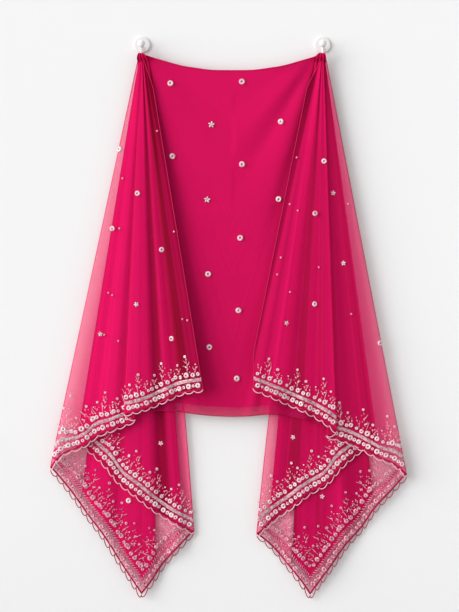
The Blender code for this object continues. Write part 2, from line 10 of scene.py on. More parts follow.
import bpy
import numpy as np
from bpy.props import FloatProperty, FloatVectorProperty, PointerProperty
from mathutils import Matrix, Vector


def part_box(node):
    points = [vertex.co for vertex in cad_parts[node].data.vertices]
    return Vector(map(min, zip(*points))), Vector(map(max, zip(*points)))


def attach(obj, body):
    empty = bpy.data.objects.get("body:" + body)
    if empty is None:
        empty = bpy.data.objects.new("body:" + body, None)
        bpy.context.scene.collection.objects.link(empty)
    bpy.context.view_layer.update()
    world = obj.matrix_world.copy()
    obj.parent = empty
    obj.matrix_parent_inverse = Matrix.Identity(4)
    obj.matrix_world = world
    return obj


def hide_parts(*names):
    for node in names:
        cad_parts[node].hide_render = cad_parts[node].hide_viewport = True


bl_info = {
    "name": "Hung Dupatta Stole",
    "version": (1, 0, 0),
    "blender": (4, 5, 0),
    "location": "View3D > Sidebar > Stole",
    "description": "Lays net, lace and beadwork on the solids of a dupatta stole hung on two hooks",
    "category": "Object",
}

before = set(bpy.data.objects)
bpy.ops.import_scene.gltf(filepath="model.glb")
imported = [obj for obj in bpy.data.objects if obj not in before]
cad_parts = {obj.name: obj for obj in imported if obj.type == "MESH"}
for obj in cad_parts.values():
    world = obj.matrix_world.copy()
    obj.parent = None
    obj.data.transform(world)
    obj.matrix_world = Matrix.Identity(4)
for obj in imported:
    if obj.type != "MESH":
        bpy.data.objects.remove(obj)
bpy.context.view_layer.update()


def box_centre(node):
    """Middle of a node's box."""
    low, high = np.array(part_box(node), dtype=float)
    return (low + high) / 2.0


HOOKS = {"left": box_centre("hook_plate_left"), "right": box_centre("hook_plate_right")}
HOOK_SPACING = float(HOOKS["right"][0] - HOOKS["left"][0])

# The cut: length between the hooks, each end's length, and the width
END_LENGTH = 0.880
CLOTH_WIDTH = 0.900

# Where the gathered cloth leaves each hook, and how the folds open out from there
SHEET_TOP = 0.0388
FAN_ROOT = 0.0375
FULL_REACH = 1.0
FOLD_OPENS_FROM = 0.05
FOLD_OPENS_TO = 0.30
HEM_WINDOW = 0.05

# Depth of each layer in front of the wall: at the hook, and from FULL_REACH down
LAYER_DEPTH = {
    "back": (-0.0175, -0.0120),
    "middle": (-0.0191, -0.0170),
    "inner": (-0.0207, -0.0232),
    "centre": (-0.0223, -0.0252),
    "front_outer": (-0.0239, -0.0325),
    "front_pleat": (-0.0255, -0.0375),
    "front_inner": (-0.0271, -0.0425),
}
FOLD_ANGLE = {"outer": 0.0140, "pleat": 0.0040, "corner": 0.0040, "hidden": 0.0060}

# Hem points of each fall. Columns: distance from the hook towards the centre, drop below it
HEMS = {
    "left": {
        "front_inner": [(0.1605, 0.8990), (0.1070, 0.9083), (0.0600, 0.9290), (0.0125, 0.9490),
                        (-0.0450, 0.9644)],
        "front_pleat": [(-0.0450, 0.9644), (-0.0157, 0.9788)],
        "front_outer": [(-0.0157, 0.9788), (-0.0407, 0.9905), (-0.0783, 1.0050),
                        (-0.1133, 1.0190), (-0.1483, 1.0450), (-0.2036, 1.0680),
                        (-0.2388, 1.1066)],
        "back_end": [(-0.2388, 1.1066), (-0.1822, 1.1750), (-0.1436, 1.2300),
                     (-0.1096, 1.2737), (-0.0566, 1.3560), (-0.0010, 1.4394)],
        "back_long": [(-0.0010, 1.4394), (0.0230, 1.4094), (0.0556, 1.3614),
                      (0.0937, 1.3175), (0.1357, 1.2737)],
        "middle": [(0.1357, 1.2737), (0.0934, 1.2515), (0.0392, 1.2189), (-0.0211, 1.1714),
                   (-0.0579, 1.1432), (-0.0947, 1.0980), (-0.1449, 1.0505)],
        "centre": [(-0.1449, 1.0505), (-0.0800, 1.0000), (-0.0200, 0.9620), (0.0400, 0.9530),
                   (0.1000, 0.9560)],
    },
    "right": {
        "front_inner": [(0.1822, 0.8965), (0.1347, 0.9160), (0.0874, 0.9375), (0.0402, 0.9584),
                        (-0.0120, 0.9900), (-0.0355, 1.0100)],
        "front_pleat": [(-0.0355, 1.0100), (-0.0094, 1.0205)],
        "front_outer": [(-0.0094, 1.0205), (-0.0321, 1.0264), (-0.0590, 1.0345),
                        (-0.1007, 1.0539), (-0.1469, 1.0780), (-0.1817, 1.0923),
                        (-0.2190, 1.1249)],
        "back_end": [(-0.2190, 1.1249), (-0.1790, 1.1693), (-0.1425, 1.2084),
                     (-0.1034, 1.2643), (-0.0647, 1.3068), (-0.0261, 1.3609),
                     (0.0329, 1.4420)],
        "back_long": [(0.0329, 1.4420), (0.0490, 1.4164), (0.0910, 1.3624),
                      (0.1436, 1.3030), (0.1723, 1.2790)],
        "middle": [(0.1723, 1.2790), (0.1128, 1.2293), (0.0859, 1.2103), (0.0355, 1.1716),
                   (-0.0091, 1.1458), (-0.0472, 1.1030), (-0.1047, 1.0544)],
        "centre": [(-0.1047, 1.0544), (-0.0500, 1.0200), (0.0300, 0.9800), (0.1100, 0.9640),
                   (0.1400, 0.9620)],
    },
}

# Which fold closes each layer at its first and at its last hem point, and what lies beyond it
LAYER_FOLDS = {
    "front_inner": (None, ("pleat", "front_pleat")),
    "front_pleat": (("pleat", "front_inner"), ("pleat", "front_outer")),
    "front_outer": (("pleat", "front_pleat"), ("outer", "back")),
    "back_end": (("outer", "front_outer"), None),
    "back_long": (None, ("corner", "middle")),
    "middle": (("corner", "back"), ("hidden", "centre")),
    "centre": (("hidden", "middle"), None),
}

# Columns: angle from the vertical in degrees, positive towards the centre; rise towards the
# viewer at full reach; half width in degrees
FLUTES = {
    "left": [(-8.6, 0.0026, 0.9), (-4.6, 0.0044, 1.5), (-0.8, 0.0056, 1.6),
             (2.5, -0.0071, 1.0), (4.1, 0.0043, 0.9), (5.8, -0.0071, 0.8), (8.4, 0.0042, 1.5)],
    "right": [(-8.0, 0.0032, 1.4), (-4.6, -0.0062, 1.3), (-0.6, 0.0040, 1.3),
              (1.2, -0.0026, 0.8), (2.9, 0.0066, 0.9), (5.2, -0.0072, 1.2),
              (8.0, 0.0038, 1.2), (10.9, 0.0048, 0.9)],
}
FLUTE_FADE_FROM = {"left": 10.5, "right": 12.0}
FLUTE_FADE = 5.0
CREASES = {
    "left": [(19.0, -0.0015, 4.0), (34.0, 0.0012, 5.0), (50.0, -0.0010, 5.0)],
    "right": [(21.0, 0.0020, 4.0), (31.0, -0.0040, 4.0), (41.0, 0.0022, 4.5),
              (55.0, -0.0012, 5.0)],
}
CREASE_REACH = 0.55
INNER_BOW = 0.0115

# How far the front layer's free edge stands off at its hem, and the angles from the vertical
# where it starts to and where it is full
EDGE_STAND_OFF = {"left": 0.0240, "right": 0.0130}
STAND_OFF_FROM = 4.0
STAND_OFF_TO = 11.0

# The front layer's free edge bows out towards the centre, by these much near the hook and near
# the hem, between two shares of the way down
EDGE_BOW = {"left": (0.0115, 0.0), "right": (0.0190, 0.0170)}
BOW_FULL = 0.10
BOW_ENDS = 0.88

# Top edge of the centre stretch. Columns: distance from the hook, drop below it
TOP_EDGE = [(0.0088, 0.0285), (0.0196, 0.0326), (0.0590, 0.0444), (0.1057, 0.0572),
            (0.1407, 0.0629), (0.1757, 0.0676), (0.2354, 0.0690)]
CENTRE_DROP = 0.9680
INNER_SHORTER = 0.0235
HEM_SHOWS_FROM = 0.10

# Edge trimmings, measured in from the hem line: where the plain edges' hems end, the lace's
# loops, the row of ring flowers, and the braid
EDGE_AT = 0.0060
LOOP_PITCH = 0.0255
LOOP_ROOT = 0.0022
LOOP_REACH = 0.0098
RING_ROW = 0.0150
BRAID_FROM = 0.0245
BRAID_WIDTH = 0.0090

SIDES = {"left": 1.0, "right": -1.0}
FRONT, WALL = -1.0, 1.0
LAYER_HEMS = {"front_inner": ("front_inner",), "front_pleat": ("front_pleat",),
              "front_outer": ("front_outer",), "middle": ("middle",),
              "back": ("back_end", "back_long")}

# Dense cloth behind the net. Columns: layer, and the angles from the vertical, in degrees, from
# which and to which it covers the layer. None is the layer's own end
DENSE = {
    "left": {"front_inner": (None, None), "front_pleat": (None, None),
             "front_outer": (-9.2, None), "middle": (None, 4.85), "back": (-7.6, 1.6)},
    "right": {"front_inner": (None, None), "front_pleat": (None, None),
              "front_outer": (-7.75, None), "middle": (None, 6.4), "back": (-6.35, 3.4)},
}
# Share of the hem over which the net turns from backed to sheer
SHEER_TURN = 0.03
DENSE_BEHIND = 0.0006
# How far in from the hem the net and the dense cloth are shown to end
NET_ENDS = {"front_inner": 0.0025, "front_pleat": 0.0025, "front_outer": 0.0025,
            "middle": 0.0025, "back": 0.0060}
DENSE_ENDS = {"front_inner": 0.0040, "front_pleat": 0.0040, "front_outer": 0.0040,
              "middle": 0.0040, "back": 0.0290}
# Painted shade of each layer, a factor on its tone: partly shade where a layer is turned from the
# light, partly the layers seen behind it
LAYER_SHADES = {
    "left": {"front_inner": 1.0, "front_pleat": 0.85, "front_outer": 1.0, "middle": 0.95,
             "back": 0.95},
    "right": {"front_inner": 1.0, "front_pleat": 0.8, "front_outer": 0.96, "middle": 0.95,
              "back": 0.90},
}
# Painted shade of the folds. Columns: angle from the vertical in degrees, positive towards the
# centre, and the painted tone there, 0 in the deepest fold and 1 on the brightest crest
FOLD_SHADES = {
    "left": [(-13.0, 0.88), (-9.2, 0.66), (-8.4, 0.98), (-7.6, 0.86), (-6.9, 0.90), (-5.6, 0.76),
             (-4.6, 0.82), (-3.6, 0.67), (-3.15, 0.62), (-2.7, 0.74), (-1.5, 0.68),
             (-0.3, 0.80), (0.9, 0.84), (1.6, 0.72), (2.3, 0.30), (3.1, 0.12), (4.2, 0.70),
             (5.1, 0.88), (6.0, 0.34), (6.9, 0.08), (7.5, 0.09), (8.4, 0.21), (9.2, 0.40),
             (10.2, 0.26), (12.0, 0.23)],
    "right": [(-12.0, 0.96), (-10.4, 0.80), (-9.0, 0.74), (-8.0, 0.66), (-7.0, 0.42),
              (-5.2, 0.49), (-4.2, 0.58), (-2.9, 0.60), (-2.0, 0.92), (-0.8, 0.67), (0.6, 0.41),
              (1.4, 0.77), (2.3, 0.98), (2.75, 0.65), (3.3, 0.31), (4.2, 0.24), (5.2, 0.57),
              (6.3, 0.96), (7.3, 0.98), (8.2, 0.75), (9.0, 0.81), (9.5, 0.71), (10.2, 0.84),
              (11.4, 0.54), (12.0, 0.58), (12.5, 0.34), (13.2, 0.32)],
}
# Near the hook the folds crowd, and their painted shade parts more strongly about a middle tone
NECK_SHADE_CONTRAST = 0.55
NECK_REACH = 0.40
MIDDLE_SHADE = 0.58
# Painted shade on the centre stretch beside each fall, where it folds and lies in the fall's
# shadow. Columns: angle from the vertical in degrees, tone, half width in degrees. They end at a
# distance from the hook
CENTRE_FOLD_SHADES = {"left": [(14.0, -0.16, 1.8)], "right": [(16.6, -0.30, 2.2)]}
CENTRE_FOLD_SHADES_END = (0.30, 0.62)
# Painted shade of the centre stretch. Columns: distance right of the mid-line, and the painted
# tone there. It is painted darker by CENTRE_DEEPENS for each metre of drop
CENTRE_DEEPENS = 0.10
CENTRE_SHADES = [(-0.235, 0.64), (-0.10, 0.72), (0.0, 0.74), (0.10, 0.74), (0.16, 0.68),
                (0.235, 0.50)]

# Pleats that pass over the front of each hook's rod and go in behind the front layer. Columns:
# drop below the hook, and the distances from it, positive towards the centre, of both edges
NECK_EDGES = {
    "left": [(0.0242, -0.0075, 0.0050), (0.0320, -0.0110, 0.0125), (0.0392, -0.0122, 0.0180),
             (0.0500, -0.0105, 0.0208), (0.0650, -0.0103, 0.0236), (0.0910, -0.0145, 0.0285),
             (0.1250, -0.0200, 0.0310)],
    "right": [(0.0242, -0.0040, 0.0110), (0.0320, -0.0075, 0.0185), (0.0392, -0.0086, 0.0220),
              (0.0500, -0.0080, 0.0240), (0.0650, -0.0087, 0.0262), (0.0910, -0.0122, 0.0335),
              (0.1250, -0.0168, 0.0400)],
}
NECK_FRONT = -0.0402
NECK_TOP_ROUND = 0.0060
NECK_GOES_IN = (0.0335, 0.0490)
NECK_FOLDS = 3.5
NECK_FOLD_DEPTH = 0.0011
NECK_ROUND_DEPTH = 0.0100
NECK_BEFORE_CENTRE = 0.0009

# The bunch over each hook's rod: how far its surface folds, how many folds go round it, and how
# far it hangs below its solid
BUNCH_FOLD = 0.00055
BUNCH_FOLDS = 22.0
BUNCH_HANGS = 0.0030

# Radii of the rolled hems, by where they lie
SELVEDGE_RADIUS = 0.0008
FOLD_EDGE_RADIUS = 0.0009
PLEAT_EDGE_RADIUS = 0.0006
BOUNDARY_RADIUS = 0.0005
CENTRE_HEM_RADIUS = 0.0011
CENTRE_HEM_CLEAR = 0.0085

# How far the beadwork stands out of the cloth
BACKING_HEIGHT = 0.0006
BEAD_HEIGHT = 0.0012

# A broad key light from the upper left, at a flat angle to the wall, and an even white surround
KEY_STRENGTH = 3.4
KEY_SPREAD = math.radians(56.0)
KEY_TURN = (math.radians(74.0), 0.0, math.radians(-63.0))
WORLD_STRENGTH = 0.62

# The photograph's frame in pixels, the hooks' mid-point in it, and its scale
PHOTO_WIDTH = 459
PHOTO_HEIGHT = 612
HOOKS_AT = (232.2, 45.0)
METRES_PER_PIXEL = 0.00261
CAMERA_AIM = ((PHOTO_WIDTH / 2.0 - HOOKS_AT[0]) * METRES_PER_PIXEL,
              (HOOKS_AT[1] - PHOTO_HEIGHT / 2.0) * METRES_PER_PIXEL)
LENS = 85.0
SENSOR = 24.0
FLOOR_LEVEL = -1.7
WALL_BEHIND = 0.0008


def smooth_step(values, low, high):
    """0 below low, 1 above high, and an S-shaped rise between them."""
    share = np.clip((values - low) / (high - low), 0.0, 1.0)
    return share * share * (3.0 - 2.0 * share)


def smooth_curve(rows, samples):
    """Points on a smooth curve through rows, each stretch a cubic with averaged end slopes."""
    points = np.array(rows, dtype=float)
    steps = np.linalg.norm(np.diff(points, axis=0), axis=1)
    along = np.concatenate(([0.0], np.cumsum(steps)))
    slopes = np.gradient(points, along, axis=0)
    where = np.linspace(0.0, along[-1], samples)
    spot = np.clip(np.searchsorted(along, where, side="right") - 1, 0, len(points) - 2)
    length = (along[spot + 1] - along[spot])[:, None]
    share = ((where - along[spot])[:, None]) / length
    return ((2 * share**3 - 3 * share**2 + 1) * points[spot]
            + (-2 * share**3 + 3 * share**2) * points[spot + 1]
            + (share**3 - 2 * share**2 + share) * length * slopes[spot]
            + (share**3 - share**2) * length * slopes[spot + 1])


def layer_depth(layer, reach):
    """Depth of a layer at a distance from its hook, before the flutes: a straight ramp."""
    at_hook, at_reach = LAYER_DEPTH[layer]
    return at_hook + (at_reach - at_hook) * np.clip(reach / FULL_REACH, 0.0, 1.0)


def bumps(rows, degrees):
    """Sum of the rows' round bumps at an angle: rise times exp(-(distance / half width)^2)."""
    total = np.zeros_like(degrees)
    for centre, rise, half_width in rows:
        total = total + rise * np.exp(-((degrees - centre) / half_width) ** 2)
    return total


def flute_height(side, inward, drop):
    """Rise of the flutes towards the viewer at a place: the bumps, faded past the fall."""
    degrees = np.degrees(np.arctan2(inward, drop))
    start = FLUTE_FADE_FROM[side]
    fade = 1.0 - smooth_step(degrees, start, start + FLUTE_FADE)
    return bumps(FLUTES[side], degrees) * fade


def shared_depth(side, inward, drop):
    """Depth that the flutes and creases add at a place, the same for every layer."""
    degrees = np.degrees(np.arctan2(inward, drop))
    reach = np.hypot(inward, drop)
    envelope = smooth_step(reach, 0.02, 0.16) * (1.0 - smooth_step(reach, 0.2, CREASE_REACH))
    flutes = flute_height(side, inward, drop) * smooth_step(reach, 0.0, 0.9)
    return -(flutes + bumps(CREASES[side], degrees) * envelope)


def stand_off(side, inward, drop):
    """How far the front layer's free edge stands off: more towards the edge and the hem."""
    degrees = np.degrees(np.arctan2(inward, drop))
    grown = smooth_step(np.hypot(inward, drop), FOLD_OPENS_FROM, FULL_REACH)
    return EDGE_STAND_OFF[side] * grown * smooth_step(degrees, STAND_OFF_FROM, STAND_OFF_TO)


def edge_bow(side, inward, share):
    """How far the front layer's free edge and the cloth beside it bow towards the centre: more
    towards the edge, and nothing at the hook and at the hem."""
    near_hook, near_hem = EDGE_BOW[side]
    pull = np.clip(inward / HEMS[side]["front_inner"][0][0], 0.0, 1.0) ** 2
    ends = smooth_step(share, 0.0, BOW_FULL) * (1.0 - smooth_step(share, BOW_ENDS, 1.0))
    return (near_hook + (near_hem - near_hook) * share) * pull * ends


def fold_profile(share):
    """Height of a rounded fold, 1 at its turn and 0 where the flat layer starts: a quarter
    ellipse."""
    left = 1.0 - np.clip(share, 0.0, 1.0)
    return 1.0 - np.sqrt(np.clip(1.0 - left**2, 0.0, 1.0))


def ray_angle(inward, drop):
    """Angle of a hem point's ray from the vertical, seen from where the fan starts."""
    return np.arctan2(inward * (1.0 - FAN_ROOT), drop - SHEET_TOP)


def place_in_frame(side, inward, depth, drop):
    """Turn distances from a hook into points of the whole object's frame."""
    inward, depth, drop = np.broadcast_arrays(inward, depth, drop)
    x = SIDES[side] * (inward - HOOK_SPACING / 2.0)
    return np.stack([x, depth, -drop], axis=-1)


class Stretch:
    """One layer of a fall: rays from the hook's gather to a hem curve.

    A point is given by its place, the distance along the hem, and its inset, the distance in
    from the hem square to it.
    """

    def __init__(self, side, name):
        self.side = side
        self.name = name
        self.layer = "back" if name.startswith("back") else name
        self.hem = smooth_curve(HEMS[side][name], 600)
        steps = np.linalg.norm(np.diff(self.hem, axis=0), axis=1)
        self.along = np.concatenate(([0.0], np.cumsum(steps)))
        self.length = float(self.along[-1])
        self.angle = ray_angle(self.hem[:, 0], self.hem[:, 1])
        ends = [np.clip(self.along + shift, 0.0, self.length)
                for shift in (-HEM_WINDOW / 2.0, HEM_WINDOW / 2.0)]
        across, down = [np.interp(ends[1], self.along, self.hem[:, axis])
                        - np.interp(ends[0], self.along, self.hem[:, axis]) for axis in (0, 1)]
        turn = across * np.cos(self.angle) - down * np.sin(self.angle)
        self.slant = np.abs(turn) / np.hypot(across, down)

    def fold_reach(self, end):
        """Length of hem that a fold's rounded part takes at an end, or 0 with no fold."""
        fold = LAYER_FOLDS[self.name][0 if end == 0 else 1]
        if fold is None:
            return 0.0
        off = np.abs(self.angle - self.angle[end])
        away = self.along if end == 0 else self.length - self.along
        order = np.argsort(off)
        return float(np.interp(FOLD_ANGLE[fold[0]], off[order], away[order]))

    def columns(self, spacing, start=0.0, stop=None):
        """Places from start to stop, about that far apart, and closer round each fold."""
        stop = self.length if stop is None else stop
        count = max(2, round((stop - start) / spacing))
        places = [np.linspace(start, stop, count + 1)]
        near = 1.0 - np.cos(np.linspace(0.0, math.pi / 2.0, 9))
        first, last = self.fold_reach(0), self.fold_reach(-1)
        if first and start == 0.0:
            places.append(near * first)
        if last and stop == self.length:
            places.append(self.length - near * last)
        return np.unique(np.round(np.concatenate(places), 6))

    def rays(self, places):
        """Each ray's hem point, its length, and the sine of its angle to the hem."""
        inward = np.interp(places, self.along, self.hem[:, 0])
        drop = np.interp(places, self.along, self.hem[:, 1])
        length = np.hypot(inward * (1.0 - FAN_ROOT), drop - SHEET_TOP)
        return inward, drop, length, np.interp(places, self.along, self.slant)

    def points(self, places, insets, lift=0.0):
        """Points of the middle surface; places and insets are arrays of one shape. lift is how
        far towards the wall they are moved."""
        inward, drop, ray, slant = self.rays(places)
        share = 1.0 - insets / slant / ray
        across = inward * FAN_ROOT + inward * (1.0 - FAN_ROOT) * share
        down = SHEET_TOP + (drop - SHEET_TOP) * share
        if self.layer in ("back", "middle"):
            pull = np.clip(inward / HEMS[self.side]["middle"][0][0], 0.0, 1.0) ** 2
            across = across + INNER_BOW * pull * 4.0 * share * (1.0 - share)
        if self.layer == "front_inner":
            across = across + edge_bow(self.side, inward, share)
        reach = np.hypot(across, down)
        depth = layer_depth(self.layer, reach)
        angle = ray_angle(inward, drop)
        for end, fold in zip((0, -1), LAYER_FOLDS[self.name]):
            if fold is None:
                continue
            kind, beyond = fold
            half = (layer_depth(beyond, reach) - depth) / 2.0
            opened = smooth_step(reach, FOLD_OPENS_FROM, FOLD_OPENS_TO)
            turn = fold_profile(np.abs(angle - self.angle[end]) / FOLD_ANGLE[kind])
            depth = depth + half * opened * turn
        if self.layer == "front_inner":
            depth = depth - stand_off(self.side, across, down)
        depth = depth + shared_depth(self.side, across, down) + lift
        return place_in_frame(self.side, across, depth, down)

    def tone(self, places, insets):
        """Painted shade of the folds at a point, and its angle from the vertical in degrees. The
        painted tones are read off the table by angle, and part more strongly near the hook."""
        spots = self.points(places, insets)
        across = spots[..., 0] * SIDES[self.side] + HOOK_SPACING / 2.0
        down = -spots[..., 2]
        degrees = np.degrees(np.arctan2(across, down))
        table = np.array(FOLD_SHADES[self.side])
        tones = np.interp(degrees, table[:, 0], table[:, 1])
        near = 1.0 - smooth_step(np.hypot(across, down), SHEET_TOP, NECK_REACH)
        tones = tones + (tones - MIDDLE_SHADE) * NECK_SHADE_CONTRAST * near
        return tones, degrees

    def frames(self, places, insets, face, height):
        """Points lifted off the face, with three axes each: along the hem, in from it, and out
        of the face. The axes are differences over a millimetre, made square."""
        step = 0.001
        inner = np.clip(places, step, self.length - step)
        spot = self.points(places, insets)
        along = self.points(inner + step, insets) - self.points(inner - step, insets)
        inward = self.points(places, insets + step) - spot
        along /= np.linalg.norm(along, axis=-1, keepdims=True)
        out = np.cross(along, inward)
        out /= np.linalg.norm(out, axis=-1, keepdims=True)
        out *= np.sign(out[..., 1:2]) * face
        inward = np.cross(out, along)
        inward *= np.sign(inward[..., 2:3])
        return spot + out * height, np.stack([along, inward, out], axis=-2)


def settings():
    """The add-on's own sizes and colours."""
    return bpy.context.scene.stole_settings


def new_mesh(name, vertices, faces, material, smooth=True):
    """A piece from arrays of points and of equal-sided faces."""
    mesh = bpy.data.meshes.new(name)
    vertices = np.asarray(vertices, dtype=np.float32).reshape(-1, 3)
    faces = np.asarray(faces, dtype=np.int32)
    sides = faces.shape[1]
    mesh.vertices.add(len(vertices))
    mesh.vertices.foreach_set("co", vertices.ravel())
    mesh.loops.add(faces.size)
    mesh.loops.foreach_set("vertex_index", faces.ravel())
    mesh.polygons.add(len(faces))
    mesh.polygons.foreach_set("loop_start", np.arange(0, faces.size, sides, dtype=np.int32))
    mesh.update(calc_edges=True)
    mesh.validate()
    if smooth:
        mesh.shade_smooth()
    mesh.materials.append(material)
    piece = bpy.data.objects.new(name, mesh)
    bpy.context.scene.collection.objects.link(piece)
    return piece


def finish_piece(piece):
    """Ride the piece on the object's one body."""
    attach(piece, "root")
    return piece


def grid_faces(columns, rows, closed=False):
    """Quads between neighbouring columns and rows; closed joins the last row to the first."""
    corner = np.arange(columns * rows).reshape(columns, rows)
    if closed:
        corner = np.concatenate([corner, corner[:, :1]], axis=1)
    return np.stack([corner[:-1, :-1], corner[1:, :-1], corner[1:, 1:], corner[:-1, 1:]],
                    axis=-1).reshape(-1, 4)


def sheet_piece(name, grid, flat, tone, ray, material):
    """A cloth sheet from a grid of points, with the flat cut's coordinates as its UV map, and
    attributes of the painted shade there and of the ray from the hook it lies on."""
    columns, rows = grid.shape[:2]
    piece = new_mesh(name, grid, grid_faces(columns, rows), material)
    mesh = piece.data
    layer = mesh.uv_layers.new(name="cut")
    corners = np.empty(len(mesh.loops), dtype=np.int32)
    mesh.loops.foreach_get("vertex_index", corners)
    layer.data.foreach_set("uv", flat.reshape(-1, 2)[corners].astype(np.float32).ravel())
    for label, values in (("shade", np.clip(tone, 0.0, 1.0)), ("ray", ray)):
        values = np.broadcast_to(values, grid.shape[:2])
        attribute = mesh.attributes.new(label, "FLOAT", "POINT")
        attribute.data.foreach_set("value", values.astype(np.float32).ravel())
    return piece


def tube(path, radius, sides=6):
    """Points and quads of a round tube along a path: at each point a ring of that radius, square
    to the path, its first direction kept as level as it can be."""
    path = np.asarray(path, dtype=float)
    along = np.gradient(path, axis=0)
    along /= np.linalg.norm(along, axis=1, keepdims=True)
    forward = np.array([0.0, -1.0, 0.0])
    first = np.cross(along, forward)
    first /= np.maximum(np.linalg.norm(first, axis=1, keepdims=True), 1e-9)
    second = np.cross(along, first)
    turn = np.linspace(0.0, 2.0 * math.pi, sides, endpoint=False)
    radius = np.broadcast_to(np.asarray(radius, dtype=float), (len(path),))
    ring = (first[:, None, :] * np.cos(turn)[None, :, None]
            + second[:, None, :] * np.sin(turn)[None, :, None]) * radius[:, None, None]
    return (path[:, None, :] + ring).reshape(-1, 3), grid_faces(len(path), sides, closed=True)


def join_parts(parts):
    """One list of points and one of faces from several, all with the same number of sides."""
    points, faces, start = [], [], 0
    for part_points, part_faces in parts:
        points.append(part_points)
        faces.append(part_faces + start)
        start += len(part_points)
    return np.concatenate(points), np.concatenate(faces)


def repeat(shape, spots, axes, sizes, turns):
    """A small shape set at many spots: its points are scaled, turned about the way out of the
    cloth, and laid along each spot's axes."""
    points, faces = shape
    cos, sin = np.cos(turns), np.sin(turns)
    x = points[None, :, 0] * cos[:, None] - points[None, :, 1] * sin[:, None]
    y = points[None, :, 0] * sin[:, None] + points[None, :, 1] * cos[:, None]
    z = np.broadcast_to(points[None, :, 2], x.shape)
    local = np.stack([x, y, z], axis=-1) * sizes[:, None, None]
    placed = spots[:, None, :] + np.einsum("nij,njk->nik", local, axes)
    shift = np.arange(len(spots))[:, None, None] * len(points)
    return placed.reshape(-1, 3), (faces[None, :, :] + shift).reshape(-1, faces.shape[1])


def ring_shape(radius, thick, around=14, sides=5):
    """A torus lying flat: circles of radius thick round a circle of that radius."""
    turn = np.linspace(0.0, 2.0 * math.pi, around, endpoint=False)
    roll = np.linspace(0.0, 2.0 * math.pi, sides, endpoint=False)
    out = radius + thick * np.cos(roll)[None, :]
    points = np.stack([out * np.cos(turn)[:, None], out * np.sin(turn)[:, None],
                       np.broadcast_to(thick * np.sin(roll)[None, :], (around, sides))], axis=-1)
    corner = np.arange(around * sides).reshape(around, sides)
    corner = np.concatenate([corner, corner[:1]], axis=0)
    corner = np.concatenate([corner, corner[:, :1]], axis=1)
    faces = np.stack([corner[:-1, :-1], corner[1:, :-1], corner[1:, 1:], corner[:-1, 1:]],
                     axis=-1).reshape(-1, 4)
    return points.reshape(-1, 3), faces


def dome_shape(length, width, height, around=10):
    """A low dome on an ellipse: three rings that shrink as they rise, closed by a small top."""
    turn = np.linspace(0.0, 2.0 * math.pi, around, endpoint=False)
    rings = []
    for share, rise in ((1.0, 0.0), (0.82, 0.6), (0.45, 0.92), (0.04, 1.0)):
        rings.append(np.stack([length / 2.0 * share * np.cos(turn),
                               width / 2.0 * share * np.sin(turn),
                               np.full(around, height * rise)], axis=1))
    return np.concatenate(rings), grid_faces(4, around, closed=True)


def leaf_shape(length, width, height):
    """A pointed leaf along +Y from the origin: its half width is a sine of the way along, and
    its middle is raised."""
    steps = np.linspace(0.0, 1.0, 6)
    half = width / 2.0 * np.sin(math.pi * steps) ** 0.8 + 0.0001
    rise = height * np.sin(math.pi * np.clip(steps, 0.05, 0.95))
    cross = np.array([-1.0, -0.5, 0.5, 1.0])
    lift = np.array([0.0, 1.0, 1.0, 0.0])
    points = np.stack([half[:, None] * cross, np.broadcast_to(length * steps[:, None], (6, 4)),
                       rise[:, None] * lift], axis=-1)
    return points.reshape(-1, 3), grid_faces(6, 4)[:, ::-1]


def flower_shape(petals, radius, height):
    """Petals round the origin, each a dome, with a round bead between them."""
    parts = []
    for turn in np.linspace(0.0, 2.0 * math.pi, petals, endpoint=False):
        points, faces = dome_shape(radius * 0.85, radius * 0.55, height, 8)
        points = points + np.array([radius * 0.58, 0.0, 0.0])
        cos, sin = math.cos(turn), math.sin(turn)
        spun = np.stack([points[:, 0] * cos - points[:, 1] * sin,
                         points[:, 0] * sin + points[:, 1] * cos, points[:, 2]], axis=1)
        parts.append((spun, faces))
    parts.append(dome_shape(radius * 0.42, radius * 0.42, height * 1.5, 8))
    return join_parts(parts)


def node(tree, kind, place, **inputs):
    """A shader node of that kind with its inputs' values set."""
    made = tree.nodes.new(kind)
    made.location = place
    for name, value in inputs.items():
        made.inputs[name.replace("_", " ")].default_value = value
    return made


def plain_material(name, colour, roughness, metallic=0.0, alpha=1.0):
    """A Principled surface; returns the material, its tree and its shader."""
    material = bpy.data.materials.new(name)
    material.use_nodes = True
    tree = material.node_tree
    shader = tree.nodes["Principled BSDF"]
    shader.inputs["Base Color"].default_value = (*colour, 1.0)
    shader.inputs["Roughness"].default_value = roughness
    shader.inputs["Metallic"].default_value = metallic
    shader.inputs["Alpha"].default_value = alpha
    return material, tree, shader


